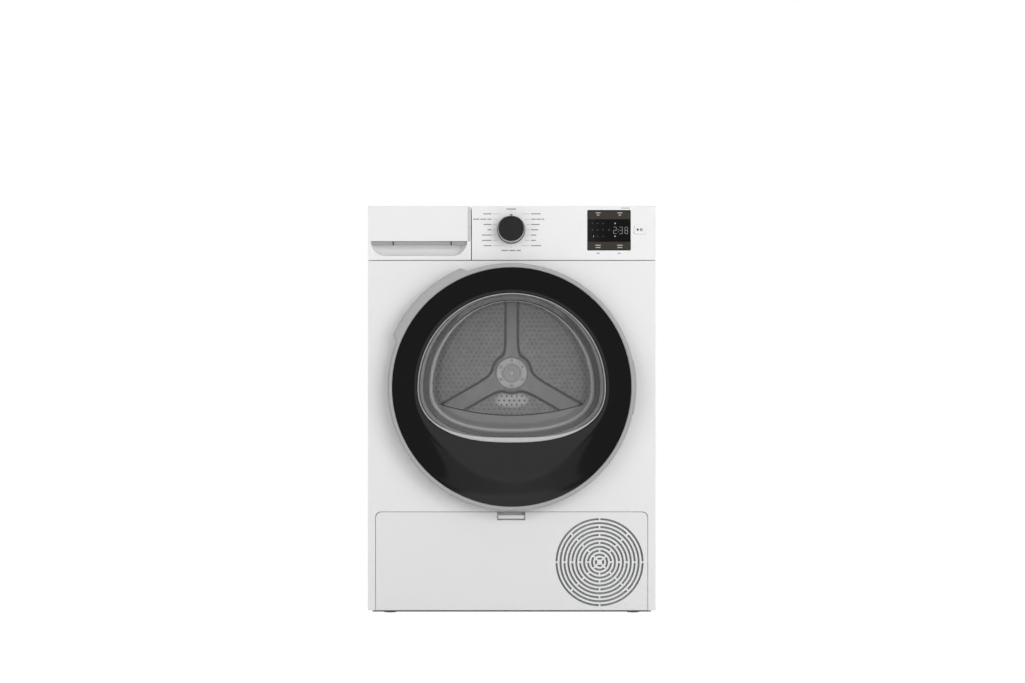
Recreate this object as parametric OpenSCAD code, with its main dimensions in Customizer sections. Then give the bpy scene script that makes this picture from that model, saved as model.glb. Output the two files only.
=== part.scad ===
// Condenser clothes dryer with heat pump, front loading, 60 cm wide.
// Z is up and the front faces -Y. The origin is on the floor, in the middle of the
// width and of the whole depth, from the door's face to the rear duct cover.

/* [Cabinet] */
// Width of the cabinet
body_w = 597; // [590:1:610]
// Height from the floor to the top of the worktop
body_h = 848; // [844:1:856]
// Depth from the front panel's face to the rear panel's face
body_d = 593; // [585:1:620]
// Height of the panels' lower edge above the floor
base_z = 8; // [7:0.5:10]
// Thickness of the sheet steel
sheet = 1.2; // [0.8:0.1:1.5]
// Height of the control panel and of the drawer front
fascia_h = 113.5; // [113:0.5:116]
// How far the duct cover stands out at the rear
rear_cover_d = 15; // [12:1:20]

/* [Door] */
// Radius of the silver ring
door_r = 256; // [250:1:258]
// Height of the door's centre above the floor
door_z = 471; // [468:1:473]
// How far the door stands out from the front panel
door_proud = 46; // [44:1:50]
// Width of the silver ring's face
ring_w = 11; // [8:1:14]
// Radius of the handle lug
lug_r = 267; // [262:1:270]
// Half-width and top height of the window
window_r = 195; // [185:1:197]
// Depth of the window below the door's centre
window_low = 115; // [105:1:125]

/* [Drum] */
// Radius of the drum
drum_r = 283; // [270:1:284]
// Height of the drum's axis
drum_z = 511; // [505:1:512]
// Length of the drum
drum_l = 423; // [380:1:424]
// Radius of the drum's shaft
shaft_r = 12; // [8:1:14]

/* [Controls] */
// Radius of the programme knob's skirt
knob_r = 29.2; // [24:0.2:31]
// How far the knob stands out
knob_proud = 31; // [24:1:34]
// Height of the row of controls
control_z = 798; // [794:1:802]
// Width of the water drawer's front
drawer_w = 214; // [206:1:216]
// Width of the display window
display_w = 90.4; // [80:0.2:92]
// Height of the display window
display_h = 84; // [70:1:88]

/* [Kick flap] */
// Width of the kick flap
flap_w = 564; // [540:1:566]
// Height of the kick flap's top edge
flap_top = 212; // [206:1:213]
// Number of slot rings in the air grille
grille_rings = 11; // [6:1:11]
// Width of one slot of the grille
slot_w = 4.2; // [3:0.1:4.6]

/* [Hidden] */
$fn = 96;
half_w = body_w / 2;
depth = body_d + door_proud + rear_cover_d;
front_y = door_proud - depth / 2;
rear_y = front_y + body_d;
door_y = front_y - door_proud;
fascia_z = body_h - fascia_h;
fascia_back = front_y + 41;
worktop_t = 19.5;
panel_top = body_h - worktop_t;
gap = 1;
fit = 0.05;
wall = 3;
edge_r = 3;
fold_w = 13;
pan_side = 3;
pan_front = 18;
pan_floor = base_z + 10;
pan_rim = base_z + 52;
cover_x = 225;
cover_z = [150, 775];
cover_r = 40;
cover_sheet = 1.5;

door_back = front_y - 7;
glass_y = door_y + 19;
glass_depth = 66;
hinge_x = door_r - 16;
hinge_y = door_y + 17;
hinge_half = 45;
hinge_pin_r = 4;
hinge_arm_z = hinge_half - 3;
throat_r = window_r + 8;
hole_r = throat_r + 5.3;
catch_x = -(window_r + 35);

bulkhead_y = fascia_back;
drum_front = bulkhead_y + 22;
drum_rear = drum_front + drum_l;
rear_wall_t = 2;
bearing_y = drum_rear + 21;
bearing_half = 9;
bush_t = 8;
rim_w = 20;
air_hole_r = 25;
air_ring_r = 150;
arm_angles = [90, 210, 330];
arm_half = 13;
arm_y = drum_rear - 5;
hub_r = 44;
hub_plate_r = 38;
hub_plate_t = 3;
hub_screw_ring = 29.5;
lip_z = door_z - 58;
lip_r = 500;
filter_t = 18;

drawer_x0 = -half_w;
drawer_x1 = drawer_x0 + drawer_w;
panel_x0 = drawer_x1 + 1.8;
tank_x0 = -half_w + 2.5;
tank_x1 = drawer_x1 - 3;
tank_l = 390;
tank_shell = 2;
tank_low = fascia_z + 6;
filler_r = 28;
filler_in = 42;
scoop_z = fascia_z + 40;
scoop_r = 31;

knob_x = -1;
knob_shaft_r = 3;
cap_r = knob_r - 3.6;
window_x = 202;
window_z = control_z - 1;
button_x = 266;
button_w = 24;
button_h = 19;
button_room = 0.5;

flap_z0 = base_z + 0.5;
flap_t = 3;
flap_pivot_y = front_y + 7.5;
flap_pivot_z = base_z + 9.6;
flap_eye_x = flap_w / 2 - 16;
flap_pin_r = 2;
eye_r = 4;
eye_half = 3;
flap_corner = 12;
grille_x = 182.4;
grille_z = 108;
ring_pitch = 8.18;
bridge_w = 3.5;
tab_z = 198.4;
tab_h = 7.1;
tab_x0 = -28;
tab_w = 54;

motor_x = 60;
motor_z = 110;
motor_r = 50;
motor_shaft_r = 6;
flange_r = 11;
pulley_r = 8;
belt_y0 = front_y + 181;
belt_w = 10;
belt_t = 2;
belt_off = 0.4;
roller_r = 15;
roller_angle = 35;
roller_y = drum_front + 4;
roller_w = 18;
roller_pin_r = 4;
wheel_r = 70;
volute_r = 78;
compressor_x = 206;
compressor_y = 158;
exchanger_x = [-262, -24];
exchanger_y = [front_y + 66, front_y + 194];
exchanger_l = 90;
fins = 23;
fin_pitch = 9.9;
fin_t = 0.8;
tube_r = 5;
pipe_r = 4;
pipe_x = 142;
pump_x = -150;
pump_y = rear_y - 60;
fan_x = grille_x;
fan_z = grille_z + 22;
fan_r = 62;
fan_hub_r = 24;
fan_shaft_r = 4;
foot_x = 255;
foot_stem_r = 5;
foot_boss_r = 11;
foot_pad_r = 13.5;
foot_pad_h = 5;
foot_y = [front_y + 45, rear_y - 45];
lock_x = [-235, -35];
lock_z = 172;
lock_r = 5;
spigot_x = -240;
spigot_z = 790;
spigot_r = 6;
spigot_bore = 4;
screw_r = 2;

// A box from its two corners.
module block(x, y, z) {
    translate([x[0], y[0], z[0]])
        cube([x[1] - x[0], y[1] - y[0], z[1] - z[0]]);
}

// A flat outline drawn in X and Z, made solid from y0 at the front to y1 at the rear.
module slab(y0, y1) {
    translate([0, y1, 0]) rotate([90, 0, 0]) linear_extrude(y1 - y0) children();
}

// A profile of radius and Y, turned round an axis that runs from front to rear.
module turned(x = 0, z = 0) {
    translate([x, 0, z]) rotate([-90, 0, 0]) rotate_extrude() children();
}

// A profile of radius and height, turned round an upright axis.
module turned_up(x, y) {
    translate([x, y, 0]) rotate_extrude() children();
}

// Round bars along Y and along X.
module bar_y(x, z, y0, y1, r) {
    translate([x, y1, z]) rotate([90, 0, 0]) cylinder(h = y1 - y0, r = r);
}
module bar_x(y, z, x0, x1, r) {
    translate([x0, y, z]) rotate([0, 90, 0]) cylinder(h = x1 - x0, r = r);
}

// A rectangle with true round corners, from corner to corner.
module rounded(x, z, r) {
    translate([x[0] + r, z[0]]) square([x[1] - x[0] - 2 * r, z[1] - z[0]]);
    translate([x[0], z[0] + r]) square([x[1] - x[0], z[1] - z[0] - 2 * r]);
    for (cx = [x[0] + r, x[1] - r], cz = [z[0] + r, z[1] - r])
        translate([cx, cz]) circle(r = r);
}

// The window's outline: half an ellipse above the centre line and a squarer curve,
// a superellipse of power 2.4, below it.
function bow(c, s, power) = [sign(c) * pow(abs(c), 2 / power), sign(s) * pow(abs(s), 2 / power)];
function window_outline(w, top, low, steps = 24) = concat(
    [for (i = [0 : steps]) let (a = 180 * i / steps) [w * cos(a), top * sin(a)]],
    [for (i = [1 : steps - 1]) let (a = 180 + 180 * i / steps, p = bow(cos(a), sin(a), 2.4))
        [w * p[0], low * p[1]]]
);
module window_shape(grow = 0) {
    translate([0, door_z])
        polygon(window_outline(window_r + grow, window_r + grow, window_low + grow));
}

// ---- Cabinet ----

// Tray that carries everything, with bosses for the feet and eyes for the flap.
module base_pan() color("dimgray") {
    difference() {
        union() {
            difference() {
                block([-half_w + pan_side, half_w - pan_side], [front_y + pan_front, rear_y - pan_side],
                    [base_z + 6, pan_rim]);
                block([-half_w + 2 * pan_side, half_w - 2 * pan_side],
                    [front_y + pan_front + wall, rear_y - 2 * pan_side], [pan_floor, pan_rim + 1]);
                block([-half_w + pan_front, half_w - pan_front],
                    [front_y + pan_front - 1, front_y + pan_front + wall + 1], [pan_floor, pan_rim + 1]);
            }
            block([-half_w + 8, half_w - 8], [front_y + pan_front + 2, front_y + pan_front + 5],
                [wall, base_z + 7]);
            for (x = [-foot_x, foot_x], y = foot_y)
                translate([x, y, base_z + 6]) cylinder(h = 30, r = foot_boss_r);
            for (x = [-flap_eye_x, flap_eye_x]) {
                bar_x(flap_pivot_y, flap_pivot_z, x - eye_half, x + eye_half, eye_r);
                block([x - eye_half, x + eye_half], [flap_pivot_y, front_y + pan_front + 1],
                    [flap_pivot_z - eye_r, flap_pivot_z + eye_r]);
            }
        }
        for (x = [-foot_x, foot_x], y = foot_y)
            translate([x, y, base_z]) cylinder(h = 40, r = foot_stem_r + fit);
        bar_x(flap_pivot_y, flap_pivot_z, -half_w, half_w, flap_pin_r + fit);
    }
}

// A side panel folded inwards at the front and at the rear.
module side_panel(side) color("white") {
    x_out = side * half_w;
    x_in = side * (half_w - sheet);
    x_fold = side * (half_w - fold_w);
    difference() {
        block([min(x_out, x_in), max(x_out, x_in)], [front_y + sheet, rear_y - sheet], [base_z, panel_top]);
        block([-half_w - 1, half_w + 1], [front_y, fascia_back], [fascia_z - gap, body_h]);
    }
    for (y = [front_y + sheet, rear_y - 2 * sheet])
        block([min(x_in, x_fold), max(x_in, x_fold)], [y, y + sheet], [base_z, fascia_z - gap]);
}

// Rear sheet with the holes for its screws and for the drain spigot.
module rear_panel() color("lightgray") difference() {
    block([-half_w, half_w], [rear_y - sheet, rear_y], [base_z, panel_top]);
    for (p = screw_places()) bar_y(p[0], p[1], rear_y - 5, rear_y + 5, screw_r + fit);
    bar_y(spigot_x, spigot_z, rear_y - 5, rear_y + 5, spigot_r + fit);
}

// Raised cover over the warm-air duct, hollow towards the rear panel.
module rear_duct_cover() color("silver") difference() {
    slab(rear_y, rear_y + rear_cover_d) rounded([-cover_x, cover_x], cover_z, cover_r);
    slab(rear_y - 1, rear_y + rear_cover_d - cover_sheet)
        rounded([-cover_x + cover_sheet, cover_x - cover_sheet],
            [cover_z[0] + cover_sheet, cover_z[1] - cover_sheet], cover_r - cover_sheet);
    for (row = [0 : 7]) slab(rear_y, rear_y + rear_cover_d + 1)
        translate([0, cover_z[0] + 40 + row * 16]) rounded([-90, 90], [0, 6], 2.9);
}

// Worktop board with rounded long edges.
module worktop() color("white")
    translate([-half_w, 0, 0]) rotate([90, 0, 90]) linear_extrude(body_w)
        rounded([fascia_back + gap, rear_y], [panel_top, body_h], edge_r);

// Front sheet: the door's round hole, the catch's slot, the hinge's screws and the
// opening for the kick flap.
module front_panel() color("white") difference() {
    block([-half_w, half_w], [front_y, front_y + sheet], [base_z, fascia_z - gap]);
    slab(front_y - 1, front_y + 3) translate([0, door_z]) circle(r = hole_r);
    slab(front_y - 1, front_y + 3) rounded([-flap_w / 2 - gap, flap_w / 2 + gap],
        [base_z - 30, flap_top + gap], flap_corner);
    block([catch_x - 6, catch_x + 6], [front_y - 1, front_y + 3], [door_z - 13, door_z + 13]);
}

// Control panel: a shell open at the rear, with openings for knob, window and button.
module control_panel() color("white") difference() {
    translate([panel_x0, 0, 0]) rotate([90, 0, 90]) linear_extrude(half_w - panel_x0)
        rounded([front_y, fascia_back], [fascia_z, body_h], edge_r);
    block([panel_x0 + wall, half_w - wall], [front_y + wall, fascia_back + 1],
        [fascia_z + wall, body_h - wall]);
    bar_y(knob_x, control_z, front_y - 1, front_y + 5, knob_shaft_r + 2);
    slab(front_y - 1, front_y + 5) window_opening();
    slab(front_y - 1, front_y + 5) button_shape(button_room);
}
module window_opening() {
    rounded([window_x - display_w / 2, window_x + display_w / 2],
        [window_z - display_h / 2, window_z + display_h / 2], 2);
}
module button_shape(room) {
    rounded([button_x - button_w / 2 - room, button_x + button_w / 2 + room],
        [control_z - button_h / 2 - room, control_z + button_h / 2 + room], 6);
}

// Dark glass, flush with the control panel.
module display_window() color("black")
    slab(front_y, front_y + wall) window_opening();

// Circuit board behind the display, with its display cell and two relays.
module control_board() color("darkgreen") {
    board_y = front_y + 18;
    block([window_x - 60, window_x + 92], [board_y, board_y + 2], [fascia_z + 14, body_h - 8]);
    block([window_x - 38, window_x + 38], [front_y + wall, board_y], [control_z - 30, control_z + 30]);
    for (x = [window_x - 52, window_x + 60])
        block([x, x + 22], [board_y + 2, board_y + 18], [control_z - 12, control_z + 12]);
}

// Rotary encoder that holds the knob's shaft.
module knob_encoder() color("gray") difference() {
    union() {
        bar_y(knob_x, control_z, front_y + wall, front_y + 28, 12);
        block([knob_x - 16, knob_x + 16], [front_y + 16, front_y + 28], [control_z - 16, control_z + 16]);
    }
    bar_y(knob_x, control_z, front_y, front_y + 24, knob_shaft_r + fit);
}

// Outline of the water tank's room: a box whose underside follows the drum.
module tank_outline(inset) difference() {
    translate([tank_x0 + inset, tank_low + inset])
        square([tank_x1 - tank_x0 - 2 * inset, panel_top - 1 - tank_low - 2 * inset]);
    translate([0, drum_z]) circle(r = drum_r + 6 + inset);
}

// Sleeve that the water tank slides in.
module tank_guide() color("lightgray") slab(fascia_back + gap, fascia_back + tank_l + 12)
    difference() {
        tank_outline(0);
        tank_outline(tank_shell);
    }

// Front bulkhead: a plate that closes the drum's front, with the loading throat, the
// lip that holds the lint filter, and the pins of the two support rollers.
module front_bulkhead() color("gainsboro") {
    slab(bulkhead_y, bulkhead_y + wall) difference() {
        union() {
            translate([-half_w + 16, pan_rim + 2]) square([body_w - 32, fascia_z - base_z - 60]);
            translate([0, drum_z]) circle(r = drum_r + 4);
        }
        loading_opening();
        translate([-half_w + 24, 0]) square([body_w - 48, flap_top + 6]);
    }
    for (side = [-1, 1])
        bar_y(roller_x(side), roller_z(), bulkhead_y + wall, roller_y + roller_w + 4, roller_pin_r);
}
module loading_opening() intersection() {
    translate([0, door_z]) circle(r = throat_r + 3);
    translate([0, lip_z + lip_r]) circle(r = lip_r);
}
function roller_x(side) = side * (drum_r + roller_r + belt_off) * sin(roller_angle);
function roller_z() = drum_z - (drum_r + roller_r + belt_off) * cos(roller_angle);

// Rubber seal between the bulkhead and the front panel's hole.
module door_seal() color("dimgray") turned(0, door_z) polygon([
    [throat_r, door_back + 1], [hole_r - 0.3, door_back + 4], [hole_r - 0.3, front_y + 8],
    [hole_r + 8, front_y + 14], [hole_r + 8, bulkhead_y], [throat_r + 3, bulkhead_y],
    [throat_r + 3, front_y + 16], [throat_r, front_y + 10]]);

// Lint filter: a frame with a grip and two mesh fields, behind the lip.
module lint_filter() color("lightgray") difference() {
    filter_y = bulkhead_y + wall;
    field_z = [lip_z - 88, lip_z - 34];
    slab(filter_y, filter_y + filter_t) difference() {
        rounded([-120, 120], [lip_z - 96, lip_z + 20], 8);
        translate([0, lip_z + lip_r]) circle(r = lip_r + 2);
    }
    for (x = [[-108, -6], [6, 108]]) slab(filter_y + wall, filter_y + filter_t + 1) rounded(x, field_z, 5);
    for (x = [-100 : 12 : 100])
        block([x - 2.5, x + 2.5], [filter_y - 1, filter_y + 4], [field_z[0] + 4, field_z[1] - 4]);
}

// Rear bulkhead with the bearing's seat and the ring of warm-air holes.
module rear_bulkhead() color("silver") difference() {
    union() {
        block([-half_w + 16, half_w - 16], [bearing_y, bearing_y + 2], [pan_rim + 2, panel_top - 24]);
        turned(0, drum_z) translate([shaft_r + bush_t, bearing_y + 1 - bearing_half])
            square([bush_t, 2 * bearing_half]);
    }
    bar_y(0, drum_z, bearing_y - bearing_half - 1, bearing_y + bearing_half + 3, shaft_r + bush_t);
    for (a = [0 : 30 : 330])
        bar_y(air_ring_r * cos(a), drum_z + air_ring_r * sin(a), bearing_y - 1, bearing_y + 3, air_hole_r);
}

// Plain bearing bush of the drum.
module drum_bearing() color("tan") turned(0, drum_z)
    translate([shaft_r + fit, bearing_y + 1 - bearing_half]) square([bush_t - fit, 2 * bearing_half]);

// ---- Drive ----

// Outline of a loop stretched round the drum and the motor's pulley.
module belt_outline(grow) {
    big = drum_r + belt_off + grow;
    small = pulley_r + belt_off + grow;
    span = norm([motor_x, motor_z - drum_z]);
    lean = atan2(motor_z - drum_z, motor_x);
    open = acos((big - small) / span);
    translate([0, drum_z]) circle(r = big);
    translate([motor_x, motor_z]) circle(r = small);
    polygon([for (c = [[0, drum_z, big, open], [motor_x, motor_z, small, open],
                       [motor_x, motor_z, small, -open], [0, drum_z, big, -open]])
        [c[0] + c[2] * cos(lean + c[3]), c[1] + c[2] * sin(lean + c[3])]]);
}
module drive_belt() color("black") slab(belt_y0, belt_y0 + belt_w) difference() {
    belt_outline(belt_t);
    belt_outline(0);
}

// Motor: round body on a cradle, with the bore for its shaft.
module motor_body() color("slategray") difference() {
    union() {
        bar_y(motor_x, motor_z, belt_y0 + 30, belt_y0 + 160, motor_r);
        block([motor_x - motor_r + 8, motor_x + motor_r - 8], [belt_y0 + 40, belt_y0 + 150],
            [pan_floor, motor_z - 20]);
    }
    bar_y(motor_x, motor_z, belt_y0, belt_y0 + 200, motor_shaft_r + fit);
}

// Shaft with the belt's pulley in front.
module motor_shaft() color("silver") {
    groove = [belt_y0 - 0.5, belt_y0 + belt_w + 0.5];
    bar_y(motor_x, motor_z, belt_y0 - 2, belt_y0 + 200, motor_shaft_r);
    turned(motor_x, motor_z) polygon([[motor_shaft_r, belt_y0 - 2], [flange_r, belt_y0 - 2],
        [flange_r, groove[0]], [pulley_r, groove[0]], [pulley_r, groove[1]], [flange_r, groove[1]],
        [flange_r, belt_y0 + belt_w + 2], [motor_shaft_r, belt_y0 + belt_w + 2]]);
}

// Process fan: a drum of blades on the motor's shaft.
module fan_wheel() color("gray") {
    wheel_y = belt_y0 + 176;
    turned(motor_x, motor_z) translate([motor_shaft_r, wheel_y]) square([wheel_r - motor_shaft_r, 2]);
    turned(motor_x, motor_z) translate([motor_shaft_r, wheel_y + 2]) square([6, 18]);
    for (a = [0 : 15 : 345])
        translate([motor_x, 0, motor_z]) rotate([0, a, 0])
            block([wheel_r - 14, wheel_r - 1], [wheel_y + 1, wheel_y + 30], [-0.8, 0.8]);
}

// Volute round the process fan, open in front to the air duct.
module process_fan_housing() color("darkgray") difference() {
    volute_y = [belt_y0 + 168, belt_y0 + 214];
    slab(volute_y[0], volute_y[1]) volute(volute_r, 110);
    slab(volute_y[0] + wall, volute_y[1] - wall) volute(volute_r - wall, 111);
    bar_y(motor_x, motor_z, volute_y[0] - 1, volute_y[0] + wall + 1, 20);
    bar_y(motor_x, motor_z, volute_y[1] - wall - 1, volute_y[1] + 1, 40);
}
module volute(r, duct_h) translate([motor_x, motor_z]) {
    circle(r = r);
    square([r, duct_h]);
}

// ---- Heat pump ----

// Compressor: a welded pot on three rubber feet.
module compressor() color("black") {
    turned_up(compressor_x, compressor_y)
        polygon([[0, 40], [50, 40], [58, 52], [58, 186], [44, 204], [0, 208]]);
    for (a = arm_angles)
        translate([compressor_x + 48 * cos(a), compressor_y + 48 * sin(a), pan_floor])
            cylinder(h = 22, r = 9);
}

// Evaporator and condenser: finned blocks between end plates, joined by tubes.
module heat_exchanger() color("silver")
    for (y0 = exchanger_y) {
        for (x = exchanger_x) block([x, x + 2], [y0, y0 + exchanger_l], [pan_floor + 2, 165]);
        for (x = fin_places()) block([x, x + fin_t], [y0, y0 + exchanger_l], [pan_floor + 4, 163]);
        for (y = [y0 + 22, y0 + 68], z = [50, 90, 130]) difference() {
            bar_x(y, z, exchanger_x[0] - 4, exchanger_x[1] + 6, tube_r);
            for (x = fin_places()) block([x, x + fin_t], [y - 6, y + 6], [z - 6, z + 6]);
            for (x = exchanger_x) block([x, x + 2], [y - 6, y + 6], [z - 6, z + 6]);
        }
    }
function fin_places() = [for (i = [1 : fins]) exchanger_x[0] + i * fin_pitch];

// Copper pipes from the compressor to both blocks.
module refrigerant_pipes() color("peru") {
    bend = 12;
    for (run = [[exchanger_y[0] + 22, 130], [exchanger_y[1] + 22, 50]]) {
        bar_x(run[0], run[1], exchanger_x[1] + 6, pipe_x - bend, pipe_r);
        translate([pipe_x - bend, run[0] + bend, run[1]]) rotate([0, 0, -90])
            rotate_extrude(angle = 90) translate([bend, 0]) circle(r = pipe_r);
        bar_y(pipe_x, run[1], run[0] + bend, compressor_y, pipe_r);
        bar_x(compressor_y, run[1], pipe_x, pipe_x + 6, pipe_r);
    }
}

// Pump that lifts the condensate into the tank.
module condensate_pump() color("dimgray") {
    block([pump_x - 40, pump_x + 40], [pump_y - 30, pump_y + 30], [pan_floor, 60]);
    translate([pump_x, pump_y, 60]) cylinder(h = 34, r = 22);
    bar_x(pump_y, 40, pump_x - 65, pump_x - 40, 6);
}

// Cover of the heat exchanger's chamber, behind the kick flap.
module exchanger_cover() color("lightgray") difference() {
    union() {
        slab(front_y + 26, front_y + 32) rounded([-272, -8], [pan_floor + 4, 190], 10);
        for (z = [40 : 14 : 152]) block([-225, -55], [front_y + 24, front_y + 26], [z, z + 4]);
    }
    for (x = lock_x) bar_y(x, lock_z, front_y + 20, front_y + 40, lock_r + fit);
}

// Quarter-turn lock of that cover: a shaft with a wing to turn it by.
module cover_lock(x) color("steelblue") {
    bar_y(x, lock_z, front_y + 23, front_y + 40, lock_r);
    bar_y(x, lock_z, front_y + 16, front_y + 23, 2 * lock_r);
    block([x - 2.5, x + 2.5], [front_y + 10, front_y + 16], [lock_z - 10, lock_z + 10]);
}

// Frame of the fan that cools the compressor, behind the grille.
module cooling_fan_frame() color("black") {
    difference() {
        block([fan_x - fan_r - 8, fan_x + fan_r + 8], [front_y + 36, front_y + 66],
            [fan_z - fan_r - 8, fan_z + fan_r + 8]);
        bar_y(fan_x, fan_z, front_y + 30, front_y + 70, fan_r + 4);
    }
    for (a = [45, 135]) translate([fan_x, 0, fan_z]) rotate([0, a, 0])
        difference() {
            block([-fan_r - 5, fan_r + 5], [front_y + 62, front_y + 66], [-4, 4]);
            block([-10, 10], [front_y + 60, front_y + 70], [-10, 10]);
        }
    difference() {
        bar_y(fan_x, fan_z, front_y + 58, front_y + 66, 20);
        bar_y(fan_x, fan_z, front_y + 50, front_y + 70, fan_shaft_r + fit);
    }
}

// Fan rotor: shaft, hub and eight pitched blades.
module cooling_fan_rotor() color("dimgray") {
    bar_y(fan_x, fan_z, front_y + 40, front_y + 66, fan_shaft_r);
    difference() {
        bar_y(fan_x, fan_z, front_y + 40, front_y + 56, fan_hub_r);
        bar_y(fan_x, fan_z, front_y + 39, front_y + 57, fan_shaft_r);
    }
    for (a = [0 : 45 : 315]) translate([fan_x, 0, fan_z]) rotate([0, a, 0])
        translate([fan_hub_r - 0.5, front_y + 48, 0]) rotate([35, 0, 0]) translate([0, -9, -1])
            cube([fan_r - fan_hub_r - 1, 18, 2]);
}

// ---- Door ----

// Fixed half of the hinge: a plate on the front panel, two arms and the pin.
module hinge_bracket() color("silver") {
    for (s = [-1, 1])
        block([hinge_x - 4, hinge_x + 4], [hinge_y, front_y],
            [door_z + s * hinge_arm_z - 3, door_z + s * hinge_arm_z + 3]);
    for (s = [-1, 1])
        translate([hinge_x, hinge_y, door_z + s * hinge_arm_z - 3]) cylinder(h = 6, r = hinge_pin_r);
    translate([hinge_x, hinge_y, door_z - hinge_half + 6])
        cylinder(h = 2 * hinge_half - 12, r = hinge_pin_r);
}

// Moving half of the hinge: a knuckle on the pin and a leaf inside the door.
module door_hinge_arm() color("silver") {
    length = 2 * hinge_half - 14;
    translate([hinge_x, hinge_y, door_z - length / 2]) difference() {
        union() {
            cylinder(h = length, r = hinge_pin_r + 3);
            translate([-26, 2, 0]) cube([26, 4, length]);
        }
        translate([0, 0, -1]) cylinder(h = length + 2, r = hinge_pin_r + fit);
    }
}

// Room for the hinge inside the door.
module hinge_room() {
    block([hinge_x - 16, door_r + 1], [door_y + 3, front_y],
        [door_z - hinge_half - 7, door_z + hinge_half + 7]);
}

// Silver ring with the handle lug at the upper left.
module door_ring() color("silver") {
    side = 4;
    difference() {
        union() {
            turned(0, door_z) {
                polygon([[door_r - ring_w, door_y], [door_r - 4, door_y], [door_r, door_y + 4],
                    [door_r, door_back - 10], [door_r - 10, door_back], [door_r - 14, door_back],
                    [door_r - side, door_back - 12], [door_r - side, door_y + 5],
                    [door_r - ring_w, door_y + 3]]);
                translate([door_r - 4, door_y + 4]) circle(r = 4);
            }
            slab(door_y, door_y + 20) translate([0, door_z]) lug_outline();
        }
        slab(door_y + 6, door_back + 1) translate([0, door_z]) circle(r = door_r - side);
        hinge_room();
    }
}
module lug_outline() difference() {
    polygon(concat(
        [for (a = [110 : 1 : 159]) (door_r - 2) * [cos(a), sin(a)]],
        [for (a = [155.7 : -1 : 113.7]) lug_r * [cos(a), sin(a)]]));
    circle(r = door_r - 3);
}

// Black dished trim between the ring and the window.
module door_trim() color([0.08, 0.08, 0.08]) difference() {
    turned(0, door_z) polygon([
        [100, glass_y - 2], [window_r + 4, glass_y - 2], [door_r - ring_w - 12, door_y + 5],
        [door_r - ring_w, door_y + 1], [door_r - ring_w, door_y + 4], [door_r - ring_w - 10, door_y + 8],
        [window_r + 4, glass_y + 1], [100, glass_y + 1]]);
    slab(door_y - 5, glass_y + 5) window_shape();
}

// Clear bowl of the window, tapering into the loading throat.
module bowl_slice(inset, y) {
    slab(y, y + 0.2) translate([0, door_z])
        polygon(window_outline(window_r - inset, window_r - inset * 0.4, window_low - inset * 0.95));
}
module door_window() color([0.8, 0.85, 0.9, 0.4]) {
    difference() {
        hull() {
            bowl_slice(0.5, glass_y + 1.2);
            bowl_slice(26, glass_y + glass_depth);
        }
        hull() {
            bowl_slice(3.5, glass_y + 4);
            bowl_slice(29, glass_y + glass_depth - 4);
        }
    }
}

// Inner frame that holds the bowl and closes the door's back.
module door_inner_frame() color("lightgray") difference() {
    turned(0, door_z) polygon([
        [100, glass_y + 1], [window_r + 6, glass_y + 1], [door_r - 16, door_back - 6],
        [door_r - 16, door_back], [window_r + 4, door_back], [100, glass_y + 9]]);
    hull() {
        bowl_slice(-1.5, glass_y - 5);
        bowl_slice(-1.5, door_back + 5);
    }
    hinge_room();
}

// Hook on the door, and the catch that it enters behind the front panel.
module door_latch_hook() color("silver") {
    block([catch_x - 3, catch_x + 3], [door_back, front_y + 16], [door_z - 8, door_z + 8]);
}
module door_catch() color("dimgray") difference() {
    block([catch_x - 14, catch_x + 12], [front_y + sheet, front_y + 24], [door_z - 24, door_z + 24]);
    block([catch_x - 6, catch_x + 6], [front_y, front_y + 20], [door_z - 11, door_z + 11]);
}

// ---- Drawer, knob and button ----

// Front of the water drawer, with the finger scoop under its raised plate.
module drawer_front() color("white") difference() {
    translate([drawer_x0, 0, 0]) rotate([90, 0, 90]) linear_extrude(drawer_w)
        rounded([front_y, fascia_back], [fascia_z, body_h], edge_r);
    scoop();
    block([drawer_x0 + wall, drawer_x1 - wall], [front_y + wall, fascia_back + 1],
        [scoop_z + wall, body_h - wall]);
    block([drawer_x1 - 7, drawer_x1 + 1], [front_y - 1, front_y + 1.5], [fascia_z + 9, body_h + 1]);
}
module scoop() intersection() {
    translate([0, front_y - 2, scoop_z]) union() {
        rotate([0, 90, 0]) translate([0, 0, drawer_x0 + scoop_r + 6])
            cylinder(h = drawer_w - 2 * scoop_r - 14, r = scoop_r);
        for (x = [drawer_x0 + scoop_r + 6, drawer_x1 - scoop_r - 8])
            translate([x, 0, 0]) sphere(r = scoop_r);
    }
    block([drawer_x0, drawer_x1], [front_y - 10, fascia_back], [fascia_z, scoop_z]);
}

// Water tank: a closed shell whose underside follows the drum.
module water_tank() color("aliceblue") difference() {
    slab(fascia_back, fascia_back + tank_l) tank_outline(tank_shell + 1);
    slab(fascia_back + 2, fascia_back + tank_l - 2) tank_outline(2 * tank_shell + 1);
    translate([tank_x0 + filler_in, fascia_back + tank_l - filler_in, panel_top - 8])
        cylinder(h = 10, r = filler_r);
}

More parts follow.
